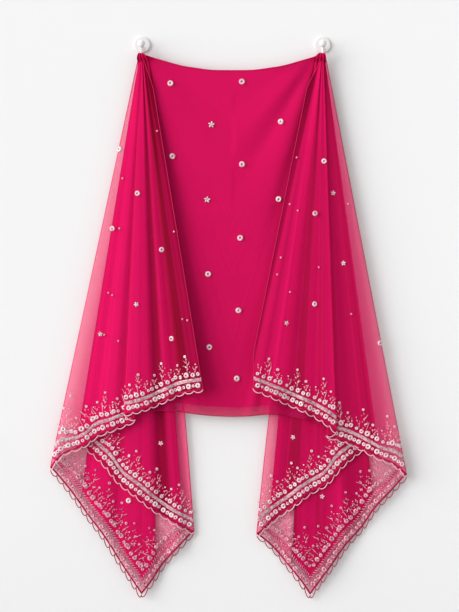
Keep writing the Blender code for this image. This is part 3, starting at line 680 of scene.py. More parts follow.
def cloth_material(name, bright, deep, alpha, mesh_size, mesh_depth, crease_shade):
    """Dyed net: a lit and a shaded copy of its colour, bright and deep, mixed by the shade attribute,
    which is painted shade, with a slow mottle and with painted shade of fine creases that follow
    the rays from the hook, and a fine mesh of cells in the cut's own coordinates as bump and as
    lighter threads."""
    material, tree, shader = plain_material(name, bright, 0.6, 0.0, alpha)
    link = tree.links.new
    cut = tree.nodes.new("ShaderNodeUVMap")
    cut.uv_map = "cut"
    cells = node(tree, "ShaderNodeTexVoronoi", (-900, -200), Scale=1.0 / mesh_size,
                 Randomness=0.25)
    cells.voronoi_dimensions = "2D"
    cells.feature = "DISTANCE_TO_EDGE"
    link(cut.outputs["UV"], cells.inputs["Vector"])
    mottle = node(tree, "ShaderNodeTexNoise", (-900, 200), Scale=9.0, Detail=3.0)
    link(cut.outputs["UV"], mottle.inputs["Vector"])
    shade = tree.nodes.new("ShaderNodeAttribute")
    shade.attribute_name = "shade"
    sway = node(tree, "ShaderNodeMapRange", (-700, 200), To_Min=-0.05, To_Max=0.05)
    link(mottle.outputs["Fac"], sway.inputs["Value"])
    # Painted shade of fine creases: a noise along the ray angle that lightens and darkens the tone
    ray = tree.nodes.new("ShaderNodeAttribute")
    ray.attribute_name = "ray"
    creases = node(tree, "ShaderNodeTexNoise", (-900, 400), Scale=1.6, Detail=4.0, Roughness=0.65)
    creases.noise_dimensions = "1D"
    link(ray.outputs["Fac"], creases.inputs["W"])
    painted_crease_shade = node(tree, "ShaderNodeMapRange", (-700, 400), From_Min=0.25, From_Max=0.75,
                  To_Min=-crease_shade, To_Max=crease_shade)
    link(creases.outputs["Fac"], painted_crease_shade.inputs["Value"])
    folded = node(tree, "ShaderNodeMath", (-500, 400))
    folded.operation = "ADD"
    link(shade.outputs["Fac"], folded.inputs[0])
    link(painted_crease_shade.outputs["Result"], folded.inputs[1])
    total = node(tree, "ShaderNodeMath", (-500, 200))
    total.operation = "ADD"
    link(folded.outputs["Value"], total.inputs[0])
    link(sway.outputs["Result"], total.inputs[1])
    # Painted shade: the lit and the shaded colour mixed by the painted fold and crease shade and a
    # random mottle
    dye_and_shade = node(tree, "ShaderNodeMix", (-300, 200))
    dye_and_shade.data_type = "RGBA"
    dye_and_shade.inputs["A"].default_value = (*deep, 1.0)
    dye_and_shade.inputs["B"].default_value = (*bright, 1.0)
    link(total.outputs["Value"], dye_and_shade.inputs["Factor"])
    threads = node(tree, "ShaderNodeMapRange", (-700, -200), From_Max=0.12, To_Min=1.12,
                   To_Max=0.94)
    link(cells.outputs["Distance"], threads.inputs["Value"])
    woven = node(tree, "ShaderNodeVectorMath", (-100, 200))
    woven.operation = "SCALE"
    link(dye_and_shade.outputs["Result"], woven.inputs["Vector"])
    link(threads.outputs["Result"], woven.inputs["Scale"])
    link(woven.outputs["Vector"], shader.inputs["Base Color"])
    bump = node(tree, "ShaderNodeBump", (-300, -200), Strength=0.35, Distance=mesh_depth)
    bump.invert = True
    link(cells.outputs["Distance"], bump.inputs["Height"])
    link(bump.outputs["Normal"], shader.inputs["Normal"])
    shader.inputs["Sheen Weight"].default_value = 0.02
    shader.inputs["Sheen Roughness"].default_value = 0.4
    shader.inputs["Sheen Tint"].default_value = (1.0, 0.25, 0.45, 1.0)
    shader.inputs["Specular IOR Level"].default_value = 0.03
    return material


def thread_material(name, colour, second, roughness, metallic, grain, depth):
    """Wound thread: two tones in fine slanted stripes across the object, raised a little."""
    material, tree, shader = plain_material(name, colour, roughness, metallic)
    link = tree.links.new
    place = tree.nodes.new("ShaderNodeTexCoord")
    stripes = node(tree, "ShaderNodeTexWave", (-700, 0), Scale=grain, Distortion=2.0, Detail=2.0)
    stripes.bands_direction = "DIAGONAL"
    link(place.outputs["Object"], stripes.inputs["Vector"])
    mix = node(tree, "ShaderNodeMix", (-400, 100))
    mix.data_type = "RGBA"
    mix.inputs["A"].default_value = (*second, 1.0)
    mix.inputs["B"].default_value = (*colour, 1.0)
    link(stripes.outputs["Fac"], mix.inputs["Factor"])
    link(mix.outputs["Result"], shader.inputs["Base Color"])
    bump = node(tree, "ShaderNodeBump", (-400, -200), Strength=0.5, Distance=depth)
    link(stripes.outputs["Fac"], bump.inputs["Height"])
    link(bump.outputs["Normal"], shader.inputs["Normal"])
    shader.inputs["Specular IOR Level"].default_value = 0.1
    return material


def bead_material(name, colour, tint, roughness, patch=0.0062, coat=0.5):
    """Pearly bead or sequin: a pale body with sharp patches of a second tint and a clear coat."""
    material, tree, shader = plain_material(name, colour, roughness)
    link = tree.links.new
    place = tree.nodes.new("ShaderNodeTexCoord")
    patches = node(tree, "ShaderNodeTexNoise", (-900, 0), Scale=1.0 / patch, Detail=2.0)
    link(place.outputs["Object"], patches.inputs["Vector"])
    sharper = node(tree, "ShaderNodeMapRange", (-700, 0), From_Min=0.40, From_Max=0.62)
    link(patches.outputs["Fac"], sharper.inputs["Value"])
    mix = node(tree, "ShaderNodeMix", (-400, 100))
    mix.data_type = "RGBA"
    mix.inputs["A"].default_value = (*colour, 1.0)
    mix.inputs["B"].default_value = (*tint, 1.0)
    link(sharper.outputs["Result"], mix.inputs["Factor"])
    link(mix.outputs["Result"], shader.inputs["Base Color"])
    shader.inputs["Coat Weight"].default_value = coat
    shader.inputs["Coat Roughness"].default_value = 0.2
    return material


def enamel_material(name, colour):
    """Glossy white enamel with a faint unevenness."""
    material, tree, shader = plain_material(name, colour, 0.22)
    link = tree.links.new
    place = tree.nodes.new("ShaderNodeTexCoord")
    ripple = node(tree, "ShaderNodeTexNoise", (-700, 0), Scale=90.0, Detail=2.0)
    link(place.outputs["Object"], ripple.inputs["Vector"])
    bump = node(tree, "ShaderNodeBump", (-400, -100), Strength=0.12, Distance=0.0004)
    link(ripple.outputs["Fac"], bump.inputs["Height"])
    link(bump.outputs["Normal"], shader.inputs["Normal"])
    shader.inputs["Coat Weight"].default_value = 0.6
    shader.inputs["Coat Roughness"].default_value = 0.1
    return material


MATERIALS = {}


def material(name):
    """The add-on's materials, each made the first time that it is asked for."""
    if name in MATERIALS:
        return MATERIALS[name]
    chosen = settings()
    # The net's lit and shaded colours, which painted shade mixes
    bright, deep = tuple(chosen.net_lit), tuple(chosen.net_shaded)
    pearl, silver = tuple(chosen.pearl), tuple(chosen.silver)
    makers = {
        "net": lambda: cloth_material("net", bright, deep, chosen.net_cover, 0.0024, 0.0004,
                                      0.10),
        "dense": lambda: cloth_material("dense", tuple(chosen.dense_lit),
                                        tuple(chosen.dense_shaded), 1.0, 0.0009, 0.0003, 0.10),
        "plain": lambda: cloth_material("plain", tuple(chosen.dense_lit),
                                        tuple(chosen.dense_shaded), 1.0, 0.0009, 0.0003, 0.02),
        "hem_net": lambda: cloth_material("hem_net", tuple(chosen.dense_lit),
                                          tuple(chosen.dense_shaded), 0.72, 0.0012, 0.0003, 0.02),
        "rolled_hem": lambda: thread_material("rolled_hem", (0.60, 0.008, 0.09),
                                              (0.34, 0.002, 0.03), 0.6, 0.0, 300.0, 0.0003),
        "selvedge": lambda: thread_material("selvedge", (0.74, 0.03, 0.14),
                                            (0.52, 0.008, 0.07), 0.6, 0.0, 300.0, 0.0003),
        "lace_cord": lambda: thread_material("lace_cord", (0.96, 0.62, 0.70),
                                             (0.90, 0.36, 0.48), 0.5, 0.0, 260.0, 0.0004),
        "reverse_cord": lambda: thread_material("reverse_cord", (0.52, 0.10, 0.17),
                                                (0.30, 0.03, 0.07), 0.6, 0.0, 260.0, 0.0004),
        "reverse_work": lambda: bead_material("reverse_work", (0.88, 0.46, 0.56),
                                              (0.46, 0.09, 0.17), 0.6, 0.0045, 0.1),
        "braid": lambda: bead_material("braid", (0.66, 0.40, 0.44), (0.36, 0.04, 0.09), 0.45,
                                       0.0050, 0.2),
        "braid_stitch": lambda: bead_material("braid_stitch", (0.86, 0.72, 0.73),
                                              (0.50, 0.20, 0.26), 0.3, 0.0070, 0.4),
        "pearl": lambda: bead_material("pearl", pearl, (0.78, 0.36, 0.45), 0.3),
        "pink_bead": lambda: bead_material("pink_bead", (0.90, 0.22, 0.33), (0.80, 0.42, 0.48),
                                           0.35),
        "silver_bead": lambda: bead_material("silver_bead", silver, (0.42, 0.30, 0.32), 0.25),
        "backing": lambda: thread_material("backing", (0.20, 0.02, 0.05), (0.12, 0.01, 0.03),
                                           0.6, 0.0, 300.0, 0.0003),
        "enamel": lambda: enamel_material("enamel", tuple(chosen.enamel)),
    }
    MATERIALS[name] = makers[name]()
    return MATERIALS[name]


def flat_cut(side, name):
    """Where a stretch lies on the flat cut: first and last hem point as (length, width)."""
    widths = {hem: Stretch(side, hem).length for hem in HEMS[side] if hem != "centre"}
    end_hems = ("front_inner", "front_pleat", "front_outer", "back_end")
    scale = CLOTH_WIDTH / sum(widths[hem] for hem in end_hems)
    if name in end_hems:
        before = sum(widths[hem] for hem in end_hems[:end_hems.index(name)])
        return ((END_LENGTH, before * scale), (END_LENGTH, (before + widths[name]) * scale))
    used = 0.0 if name == "back_long" else widths["back_long"]
    return ((END_LENGTH - used, CLOTH_WIDTH), (END_LENGTH - used - widths[name], CLOTH_WIDTH))


def stretch_grid(stretch, places, top_inset, low_inset, rows, lift):
    """Points, flat coordinates, tones and angles of a stretch between two insets. top_inset None
    starts at the gather."""
    ray, slant = stretch.rays(places)[2:]
    high = ray * slant if top_inset is None else np.full_like(ray, top_inset)
    share = np.linspace(0.0, 1.0, rows)[None, :]
    insets = high[:, None] + (low_inset - high)[:, None] * share
    wide = np.broadcast_to(places[:, None], insets.shape)
    first, last = flat_cut(stretch.side, stretch.name)
    way = (places / stretch.length)[:, None, None]
    hem = np.array(first)[None, None, :] * (1.0 - way) + np.array(last)[None, None, :] * way
    flat = hem * (1.0 - insets / (ray * slant)[:, None])[..., None]
    return (stretch.points(wide, insets, lift), flat, *stretch.tone(wide, insets))


def dense_cover(side, layer):
    """The shares of a layer's hem between which its dense cloth lies, read off the angles of the
    hem points."""
    angles, alongs, before = [], [], 0.0
    for hem in LAYER_HEMS[layer]:
        stretch = Stretch(side, hem)
        angles.append(np.degrees(np.arctan2(stretch.hem[:, 0], stretch.hem[:, 1])))
        alongs.append(before + stretch.along)
        before += stretch.length
    angles, shares = np.concatenate(angles), np.concatenate(alongs) / before
    order = np.argsort(angles)
    low, high = DENSE[side][layer]
    ends = [float(np.interp(limit, angles[order], shares[order])) if limit is not None
            else float(shares[order][edge]) for limit, edge in ((low, 0), (high, -1))]
    return tuple(sorted(ends))


def layer_sheet(side, layer, name, cover, low_inset, lift, tone, kind):
    """A sheet over a layer. cover is the share of its hem that it spans. The net is painted in its
    lit colour where no dense cloth lies behind it, painted light for the light that comes through it
    from the wall."""
    stretches = [Stretch(side, hem) for hem in LAYER_HEMS[layer]]
    total = sum(stretch.length for stretch in stretches)
    start, stop = cover[0] * total, cover[1] * total
    grids, shares, before = [], [], 0.0
    for stretch in stretches:
        low, high = max(start - before, 0.0), min(stop - before, stretch.length)
        if low < high:
            places = stretch.columns(settings().column_spacing, low, high)
            grids.append(stretch_grid(stretch, places, None, low_inset, 70, lift))
            shares.append((before + places) / total)
        before += stretch.length
    joined = [np.concatenate([grids[0][item]] + [more[item][1:] for more in grids[1:]], axis=0)
              for item in range(4)]
    share = np.concatenate([shares[0]] + [more[1:] for more in shares[1:]])[:, None]
    # Painted fold shade, scaled by the layer's painted shade
    shade = joined[2] * tone
    # Painted light: the sheer net takes its lit colour, for the wall's light through it
    if kind == "net":
        first, last = dense_cover(side, layer)
        start = 1.0 if first < 0.001 else smooth_step(share, first - SHEER_TURN, first)
        end = 1.0 if last > 0.999 else 1.0 - smooth_step(share, last, last + SHEER_TURN)
        sheer = 1.0 - start * end
        shade = shade * (1.0 - sheer) + sheer
    return sheet_piece(name, joined[0], joined[1], shade, joined[3], material(kind))


def cut_outline(side, layer, cover):
    """Corners of the flat cut under a share of a layer's hem, the first one at the hook."""
    stretches = [Stretch(side, hem) for hem in LAYER_HEMS[layer]]
    total = sum(stretch.length for stretch in stretches)
    corners, before = [np.zeros(2)], 0.0
    for stretch in stretches:
        low = max(cover[0] * total - before, 0.0) / stretch.length
        high = min(cover[1] * total - before, stretch.length) / stretch.length
        if low < high:
            first, last = [np.array(point) for point in flat_cut(side, stretch.name)]
            corners.extend([first + (last - first) * low, first + (last - first) * high])
        before += stretch.length
    return np.array(corners)


def declare_sheet(corners):
    """Work out the way from a sheet's first corner towards the middle of its other corners. Nothing
    is returned."""
    ahead = corners[1:].mean(axis=0) - corners[0]
    ahead /= np.linalg.norm(ahead)


def centre_half(side, layer, columns, shorter, lift):
    """Half of the centre stretch: straight lines from its top edge down to its lower edge. Its
    end is folded in behind the fall, down from the gather."""
    stretch = Stretch(side, "centre")
    places = stretch.columns(0.010)
    if layer == "inner":
        places = places[places > 0.03]
    low_inward = np.interp(places, stretch.along, stretch.hem[:, 0])
    low_drop = np.interp(places, stretch.along, stretch.hem[:, 1])
    first, last = low_inward[0] * FAN_ROOT, TOP_EDGE[0][0] - 0.0002
    share = (low_inward - low_inward[0]) / (low_inward[-1] - low_inward[0])
    across = np.linspace(TOP_EDGE[0][0], TOP_EDGE[-1][0], columns)
    run = (across - across[0]) / (across[-1] - across[0])
    curve = smooth_curve(TOP_EDGE, 200)
    start = HEMS[side]["centre"][-1]
    low_across = start[0] + (across[-1] - start[0]) * run
    low_edge = start[1] + (CENTRE_DROP - start[1]) * np.sin(run * np.pi / 2.0)
    high = np.stack([np.concatenate([first + (last - first) * share, across]),
                     np.concatenate([np.full_like(places, SHEET_TOP),
                                     np.interp(across, curve[:, 0], curve[:, 1])])], axis=1)
    low = np.stack([np.concatenate([low_inward, low_across]),
                    np.concatenate([low_drop, low_edge])], axis=1)
    length = np.hypot(*(low - high).T)[:, None]
    down = np.linspace(0.0, 1.0, 80)[None, :] * (1.0 - shorter / length)
    inward = high[:, :1] + (low[:, :1] - high[:, :1]) * down
    drop = high[:, 1:] + (low[:, 1:] - high[:, 1:]) * down
    reach = np.hypot(inward, drop)
    depth = layer_depth(layer, reach)
    if layer == "centre":
        angle = ray_angle(low[:, 0], low[:, 1])[:, None]
        half = (layer_depth("middle", reach) - depth) / 2.0
        opened = smooth_step(reach, FOLD_OPENS_FROM, FOLD_OPENS_TO)
        depth = depth + half * opened * fold_profile(np.abs(angle - angle[0])
                                                     / FOLD_ANGLE["hidden"])
    depth = depth + shared_depth(side, inward, drop) + lift
    grid = place_in_frame(side, inward, depth, drop)
    flat = np.stack([grid[..., 0], drop], axis=-1)
    # Painted shade: across the width from the table, darker in the folds and shadow beside each fall,
    # and darker with drop
    table = np.array(CENTRE_SHADES)
    tone = np.interp(grid[..., 0], table[:, 0], table[:, 1])
    degrees = np.degrees(np.arctan2(inward, drop))
    folds = bumps(CENTRE_FOLD_SHADES[side], degrees) * (1.0 - smooth_step(reach, *CENTRE_FOLD_SHADES_END))
    tone = tone + folds - CENTRE_DEEPENS * np.clip(drop, 0.0, 1.0)
    return grid, flat, tone, degrees


def centre_sheet(name, layer, shorter, lift, tone, kind):
    """The whole centre stretch, left half and right half joined at the mid-line."""
    left, right = [centre_half(side, layer, 34, shorter, lift) for side in SIDES]
    joined = [np.concatenate([one, other[::-1][1:]], axis=0) for one, other in zip(left, right)]
    return sheet_piece(name, joined[0], joined[1], joined[2] * tone, joined[3], material(kind))


def centre_hem():
    """The hem of the centre stretch, turned up behind the net where the inner layer ends."""
    grids = []
    for side in SIDES:
        grid = centre_half(side, "centre", 34, 0.0, 0.0008)[0]
        keep = grid[:, -1, 0] * SIDES[side] > -HOOK_SPACING / 2.0 + HEM_SHOWS_FROM
        low = grid[keep, -1]
        up = grid[keep, -1] + np.array([0.0, 0.0, INNER_SHORTER + 0.002])
        share = np.linspace(0.0, 1.0, 4)[None, :, None]
        strip = up[:, None, :] * (1.0 - share) + low[:, None, :] * share
        grids.append(strip)
    grid = np.concatenate([grids[0], grids[1][::-1][1:]], axis=0)
    flat = np.stack([grid[..., 0], -grid[..., 2]], axis=-1)
    return sheet_piece("hem_centre", grid, flat, 0.62, 0.0, material("hem_net"))


class STOLE_OT_falls(bpy.types.Operator):
    """Lay the net and the dense cloth of both falls"""
    bl_idname = "stole.falls"
    bl_label = "Falls"

    def execute(self, context):
        for side in SIDES:
            for layer in LAYER_HEMS:
                tone = LAYER_SHADES[side][layer]
                net = layer_sheet(side, layer, f"net_{layer}_{side}", (0.0, 1.0),
                                  NET_ENDS[layer], 0.0, tone, "net")
                finish_piece(net)
                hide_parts(f"{layer}_net_{side}")
                cover = dense_cover(side, layer)
                dense = layer_sheet(side, layer, f"dense_{layer}_{side}", cover,
                                    DENSE_ENDS[layer], DENSE_BEHIND, tone, "dense")
                finish_piece(dense)
                declare_sheet(cut_outline(side, layer, (0.0, 1.0)))
                declare_sheet(cut_outline(side, layer, cover))
        return {"FINISHED"}


class STOLE_OT_centre(bpy.types.Operator):
    """Lay the centre stretch and its inner layer"""
    bl_idname = "stole.centre"
    bl_label = "Centre stretch"

    def execute(self, context):
        net = finish_piece(centre_sheet("net_centre", "centre", 0.0, 0.0, 1.0, "net"))
        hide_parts("centre_net")
        inner = finish_piece(centre_sheet("inner_centre", "inner", INNER_SHORTER, 0.0, 1.0,
                                          "plain"))
        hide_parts("centre_inner_layer")
        turned = finish_piece(centre_hem())
        long = HOOK_SPACING - 2.0 * HEM_SHOWS_FROM
        turned_up = INNER_SHORTER + 0.002
        declare_sheet(np.array([(0.0, 0.0), (0.0, turned_up), (long, turned_up),
                                        (long, 0.0)]))
        hidden = [flat_cut(side, "middle")[1][0] for side in SIDES]
        for piece, width in ((net, CLOTH_WIDTH), (inner, CLOTH_WIDTH - INNER_SHORTER)):
            corners = np.array([(0.0, 0.0), (-hidden[0], width), (HOOK_SPACING + hidden[1], width),
                                (HOOK_SPACING, 0.0)])
            declare_sheet(corners)
        return {"FINISHED"}




def neck_pleats(side):
    """Pleats over the front of a hook's rod: a sheet between two edges, with cosine folds and painted
    shade that follows them. It is rounded off to the back at its top, and lower down it lies just
    before the centre stretch."""
    rows = np.array(NECK_EDGES[side])
    seat = NECK_GOES_IN[1] + 0.001
    drop = np.concatenate([np.linspace(rows[0, 0], seat, 30),
                           np.linspace(seat, rows[-1, 0], 20)[1:]])
    outer, inner = [np.interp(drop, rows[:, 0], rows[:, column]) for column in (1, 2)]
    share = np.linspace(0.0, 1.0, 85)[:, None]
    inward = outer[None, :] + (inner - outer)[None, :] * share
    drop = np.broadcast_to(drop[None, :], inward.shape)
    rise = np.clip((drop - rows[0, 0]) / NECK_TOP_ROUND, 0.0, 1.0)
    front = NECK_FRONT + NECK_ROUND_DEPTH * (1.0 - np.sqrt(np.clip(1.0 - (1.0 - rise) ** 2, 0.0, 1.0)))
    reach = np.hypot(inward, drop)
    behind = layer_depth("centre", reach) + shared_depth(side, inward, drop)
    behind = behind - NECK_BEFORE_CENTRE
    pushed = smooth_step(drop, *NECK_GOES_IN)
    fold = np.cos(2.0 * math.pi * NECK_FOLDS * share + 0.6)
    depth = front * (1.0 - pushed) + behind * pushed - NECK_FOLD_DEPTH * fold * (1.0 - pushed)
    grid = place_in_frame(side, inward, depth, drop)
    flat = np.stack([inward, drop], axis=-1)
    # Painted shade that follows the folds: lighter on their crests, darker in their troughs
    tone = 0.42 + 0.34 * np.broadcast_to(fold, inward.shape)
    outline = np.concatenate([np.stack([outer, drop[0]], axis=1),
                              np.stack([inner, drop[0]], axis=1)[::-1]])
    return grid, flat, tone, outline


def bunch_grid(side):
    """The bunch over a hook's rod: a closed ring of folds, level by level, drawn in over the rod
    as a half circle. Returns its points, flat coordinates and tones, painted shade of its folds."""
    low, high = np.array(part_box(f"gather_{side}"))
    middle = (low + high) / 2.0
    radius = (high[0] - low[0]) / 2.0
    seat = high[2] - radius
    turn = np.linspace(0.0, 2.0 * math.pi, 193)
    turn[-1] = 0.0
    rise = np.linspace(0.0, 1.0, 24)
    level = np.concatenate([np.linspace(low[2] - BUNCH_HANGS, seat, 14)[:-1],
                            seat + (high[2] - seat) * np.sin(rise * math.pi / 2.0)])
    above = np.clip((level - seat) / radius, 0.0, 0.9995)
    half = radius * np.sqrt(np.clip(1.0 - above**2, 0.0, 1.0))
    deep = (high[1] - low[1]) / 2.0 * np.clip(half / radius + 0.35, 0.0, 1.0)
    wave = np.cos(turn * BUNCH_FOLDS + 0.6 * np.sin(turn * 3.0))[:, None]
    across, out = np.cos(turn), np.sin(turn)
    x = half * (1.0 + BUNCH_FOLD * wave / radius) \
        * (np.sign(across) * np.abs(across) ** 0.8)[:, None]
    y = (deep + BUNCH_FOLD * wave) * (np.sign(out) * np.abs(out) ** 0.45)[:, None]
    grid = np.stack([middle[0] + x, middle[1] + y, np.broadcast_to(level, x.shape)], axis=-1)
    flat = np.stack([grid[..., 0], grid[..., 2]], axis=-1)
    # Painted shade that follows the folds: lighter on their crests, darker between them
    return grid, flat, 0.35 + 0.3 * np.broadcast_to(wave, x.shape)


class STOLE_OT_gathers(bpy.types.Operator):
    """Bunch the pleats over each hook's rod"""
    bl_idname = "stole.gathers"
    bl_label = "Gathers"

    def execute(self, context):
        for side in SIDES:
            grid, flat, tone = bunch_grid(side)
            bunch = sheet_piece(f"pleats_{side}", grid, flat, tone, 0.0, material("dense"))
            finish_piece(bunch)
            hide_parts(f"gather_{side}")
            grid, flat, tone, outline = neck_pleats(side)
            neck = sheet_piece(f"neck_pleats_{side}", grid, flat, tone, 0.0, material("dense"))
            finish_piece(neck)
            declare_sheet(outline)
        return {"FINISHED"}


def edge_line(stretch, place, radius, lift):
    """A thin tube down one ray of a layer, from the gather to the hem."""
    ray, slant = [float(v) for v in stretch.rays(place)[2:]]
    insets = np.linspace(ray * slant, EDGE_AT, 120)
    return tube(stretch.points(np.full_like(insets, place), insets, lift), radius)


class STOLE_OT_hems(bpy.types.Operator):
    """Roll the plain edges and mark the folded edges"""
    bl_idname = "stole.hems"
    bl_label = "Rolled hems"

    def execute(self, context):
        for side in SIDES:
            free = Stretch(side, "front_inner")
            points, faces = edge_line(free, 0.0, SELVEDGE_RADIUS, 0.0)
            hem = new_mesh(f"selvedge_{side}", points, faces, material("selvedge"))
            finish_piece(hem)
            parts = []
            for name, place, radius in (("front_outer", 1.0, FOLD_EDGE_RADIUS),
                                        ("middle", 0.0, FOLD_EDGE_RADIUS),
                                        ("front_inner", 1.0, PLEAT_EDGE_RADIUS)):
                stretch = Stretch(side, name)
                parts.append(edge_line(stretch, place * stretch.length, radius, 0.0))
            for layer, hems in LAYER_HEMS.items():
                total = sum(Stretch(side, hem).length for hem in hems)
                for end in dense_cover(side, layer):
                    if end < 0.001 or end > 0.999:
                        continue
                    before = 0.0
                    for hem in hems:
                        stretch = Stretch(side, hem)
                        place = end * total - before
                        if 0.0 < place < stretch.length:
                            parts.append(edge_line(stretch, place, BOUNDARY_RADIUS, DENSE_BEHIND))
                        before += stretch.length
            points, faces = join_parts(parts)
            hem = new_mesh(f"rolled_hems_{side}", points, faces, material("rolled_hem"))
            finish_piece(hem)
        halves = [centre_half(side, "centre", 34, 0.0, 0.0)[0] for side in SIDES]
        grid = np.concatenate([halves[0], halves[1][::-1][1:]], axis=0)
        between = np.abs(grid[:, 0, 0]) < HOOK_SPACING / 2.0 - CENTRE_HEM_CLEAR
        for name, path, kind in (("selvedge_centre", grid[between][:, 0], "selvedge"),
                                 ("rolled_hem_centre", grid[:, -1], "rolled_hem")):
            points, faces = tube(path, CENTRE_HEM_RADIUS)
            finish_piece(new_mesh(name, points, faces, material(kind)))
        return {"FINISHED"}


def loop_path(stretch, face):
    """The lace cord's path: arches beyond the net's edge, each half an ellipse on its pitch."""
    count = max(1, round(stretch.length / LOOP_PITCH))
    places = np.linspace(0.0, stretch.length, count * 14 + 1)
    phase = 2.0 * np.mod(places / stretch.length * count, 1.0) - 1.0
    arch = np.sqrt(np.clip(1.0 - phase**2, 0.0, 1.0)) ** 1.15
    insets = EDGE_AT - LOOP_ROOT - (LOOP_REACH - LOOP_ROOT) * arch
    return stretch.frames(places, insets, face, 0.0)[0]


class STOLE_OT_edging(bpy.types.Operator):
    """Sew the looped lace along every embroidered hem"""
    bl_idname = "stole.edging"
    bl_label = "Looped lace"

    def execute(self, context):
        radius = settings().cord_radius
        for side in SIDES:
            for layer, hems in LAYER_HEMS.items():
                cord = "reverse_cord" if layer == "back" else "lace_cord"
                cords, bands = [], []
                for hem in hems:
                    stretch = Stretch(side, hem)
                    cords.append(tube(loop_path(stretch, FRONT), radius))
                    level = np.linspace(0.0, stretch.length, round(stretch.length / 0.004))
                    edge = NET_ENDS[layer]
                    for inset, lift in ((edge - 0.0004, 0.0), (edge + 0.0014, 0.0004)):
                        spots = stretch.frames(level, np.full_like(level, inset), FRONT, lift)[0]
                        bands.append(tube(spots, radius))
                for name, parts, kind in (("loops", cords, cord), ("band", bands, "rolled_hem")):
                    points, faces = join_parts(parts)
                    piece = new_mesh(f"lace_{name}_{layer}_{side}", points, faces,
                                     material(kind))
                    finish_piece(piece)
                    if name == "loops":
                        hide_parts(f"{layer}_edging_{side}")
        return {"FINISHED"}


class STOLE_OT_braid(bpy.types.Operator):
    """Lay the silver braid, a strip with slanted stitches over it"""
    bl_idname = "stole.braid"
    bl_label = "Braid"

    def execute(self, context):
        pitch = settings().stitch_pitch
        for side in SIDES:
            for layer, hems in LAYER_HEMS.items():
                if layer == "front_pleat":
                    continue
                face = WALL if layer == "back" else FRONT
                strips, stitches, reverse = [], [], []
                for hem in hems:
                    stretch = Stretch(side, hem)
                    start = stretch.fold_reach(0) if hem == "front_outer" else 0.0
                    stop = stretch.length
                    if hem == "middle":
                        stop -= stretch.fold_reach(-1)
                    places = stretch.columns(0.006, start, stop)
                    share = np.linspace(0.0, 1.0, 5)[None, :]
                    insets = BRAID_FROM + BRAID_WIDTH * share + np.zeros((len(places), 1))
                    wide = np.broadcast_to(places[:, None], insets.shape)
                    crown = 0.0008 + 0.0004 * np.sin(math.pi * share)
                    spots = stretch.frames(wide, insets, face, crown[..., None])[0]
                    strips.append((spots.reshape(-1, 3), grid_faces(len(places), 5)))
                    along = np.arange(start + pitch, stop - pitch, pitch)
                    middle = np.full_like(along, BRAID_FROM + BRAID_WIDTH / 2.0)
                    spots, axes = stretch.frames(along, middle, face, 0.0010)
                    bar = dome_shape(BRAID_WIDTH * 1.15, pitch * 0.50, 0.0010, 8)
                    turns = np.full_like(along, math.radians(60.0))
                    ones = np.ones_like(along)
                    stitches.append(repeat(bar, spots, axes, ones, turns))
                    if layer == "back":
                        spots, axes = stretch.frames(along[::2], middle[::2], FRONT, 0.0004)
                        reverse.append(repeat(bar, spots, axes, ones[::2], turns[::2]))
                for name, parts, kind in (("strip", strips, "braid"),
                                          ("stitches", stitches, "braid_stitch"),
                                          ("reverse", reverse, "reverse_work")):
                    if not parts:
                        continue
                    points, faces = join_parts(parts)
                    piece = new_mesh(f"braid_{name}_{layer}_{side}", points, faces,
                                     material(kind))
                    finish_piece(piece)
                    if name == "strip":
                        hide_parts(f"{layer}_braid_{side}")
        return {"FINISHED"}


# One repeat of the border above the braid.
# Columns: kind, distance along the hem, inset, size, turn in degrees
SPRIG_REPEAT = 0.0735
SPRIG = [
    ("ring", 0.0020, 0.0440, 1.00, 0), ("ring", -0.0150, 0.0425, 0.80, 0),
    ("ring", 0.0180, 0.0425, 0.72, 0), ("ring", 0.0315, 0.0445, 0.90, 0),
    ("ring", -0.0300, 0.0435, 0.66, 0), ("bead", 0.0100, 0.0500, 1.0, 0),
    ("bead", -0.0085, 0.0505, 0.9, 0), ("bead", 0.0250, 0.0515, 1.0, 0),
    ("bead", -0.0225, 0.0500, 0.9, 0), ("stem", -0.0010, 0.0490, 1.1, 6),
    ("stem", -0.0040, 0.0700, 0.9, -8), ("tip", -0.0020, 0.0570, 0.9, 48),
    ("leaf", -0.0020, 0.0620, 0.8, -48), ("tip", -0.0035, 0.0690, 0.9, 42),
    ("tip", -0.0030, 0.0740, 0.8, -42), ("tip", -0.0025, 0.0810, 0.7, 30),
    ("ring", -0.0010, 0.0930, 0.52, 0), ("dot", -0.0100, 0.0640, 1.0, 0),
    ("dot", 0.0060, 0.0690, 1.0, 0), ("dot", -0.0100, 0.0780, 1.0, 0),
    ("dot", 0.0055, 0.0820, 0.8, 0), ("stem", 0.0200, 0.0480, 0.9, -10),
    ("tip", 0.0215, 0.0550, 0.8, 45), ("tip", 0.0225, 0.0600, 0.8, -45),
    ("ring", 0.0240, 0.0730, 0.50, 0), ("dot", 0.0150, 0.0620, 0.9, 0),
    ("dot", 0.0300, 0.0650, 0.9, 0), ("stem", -0.0230, 0.0480, 0.8, 12),
    ("tip", -0.0245, 0.0540, 0.8, -40), ("tip", -0.0255, 0.0590, 0.8, 45),
    ("bead", -0.0275, 0.0690, 1.2, 0), ("dot", -0.0190, 0.0630, 0.9, 0),
    ("leaf", 0.0345, 0.0530, 0.7, 20), ("dot", 0.0360, 0.0620, 0.9, 0),
]


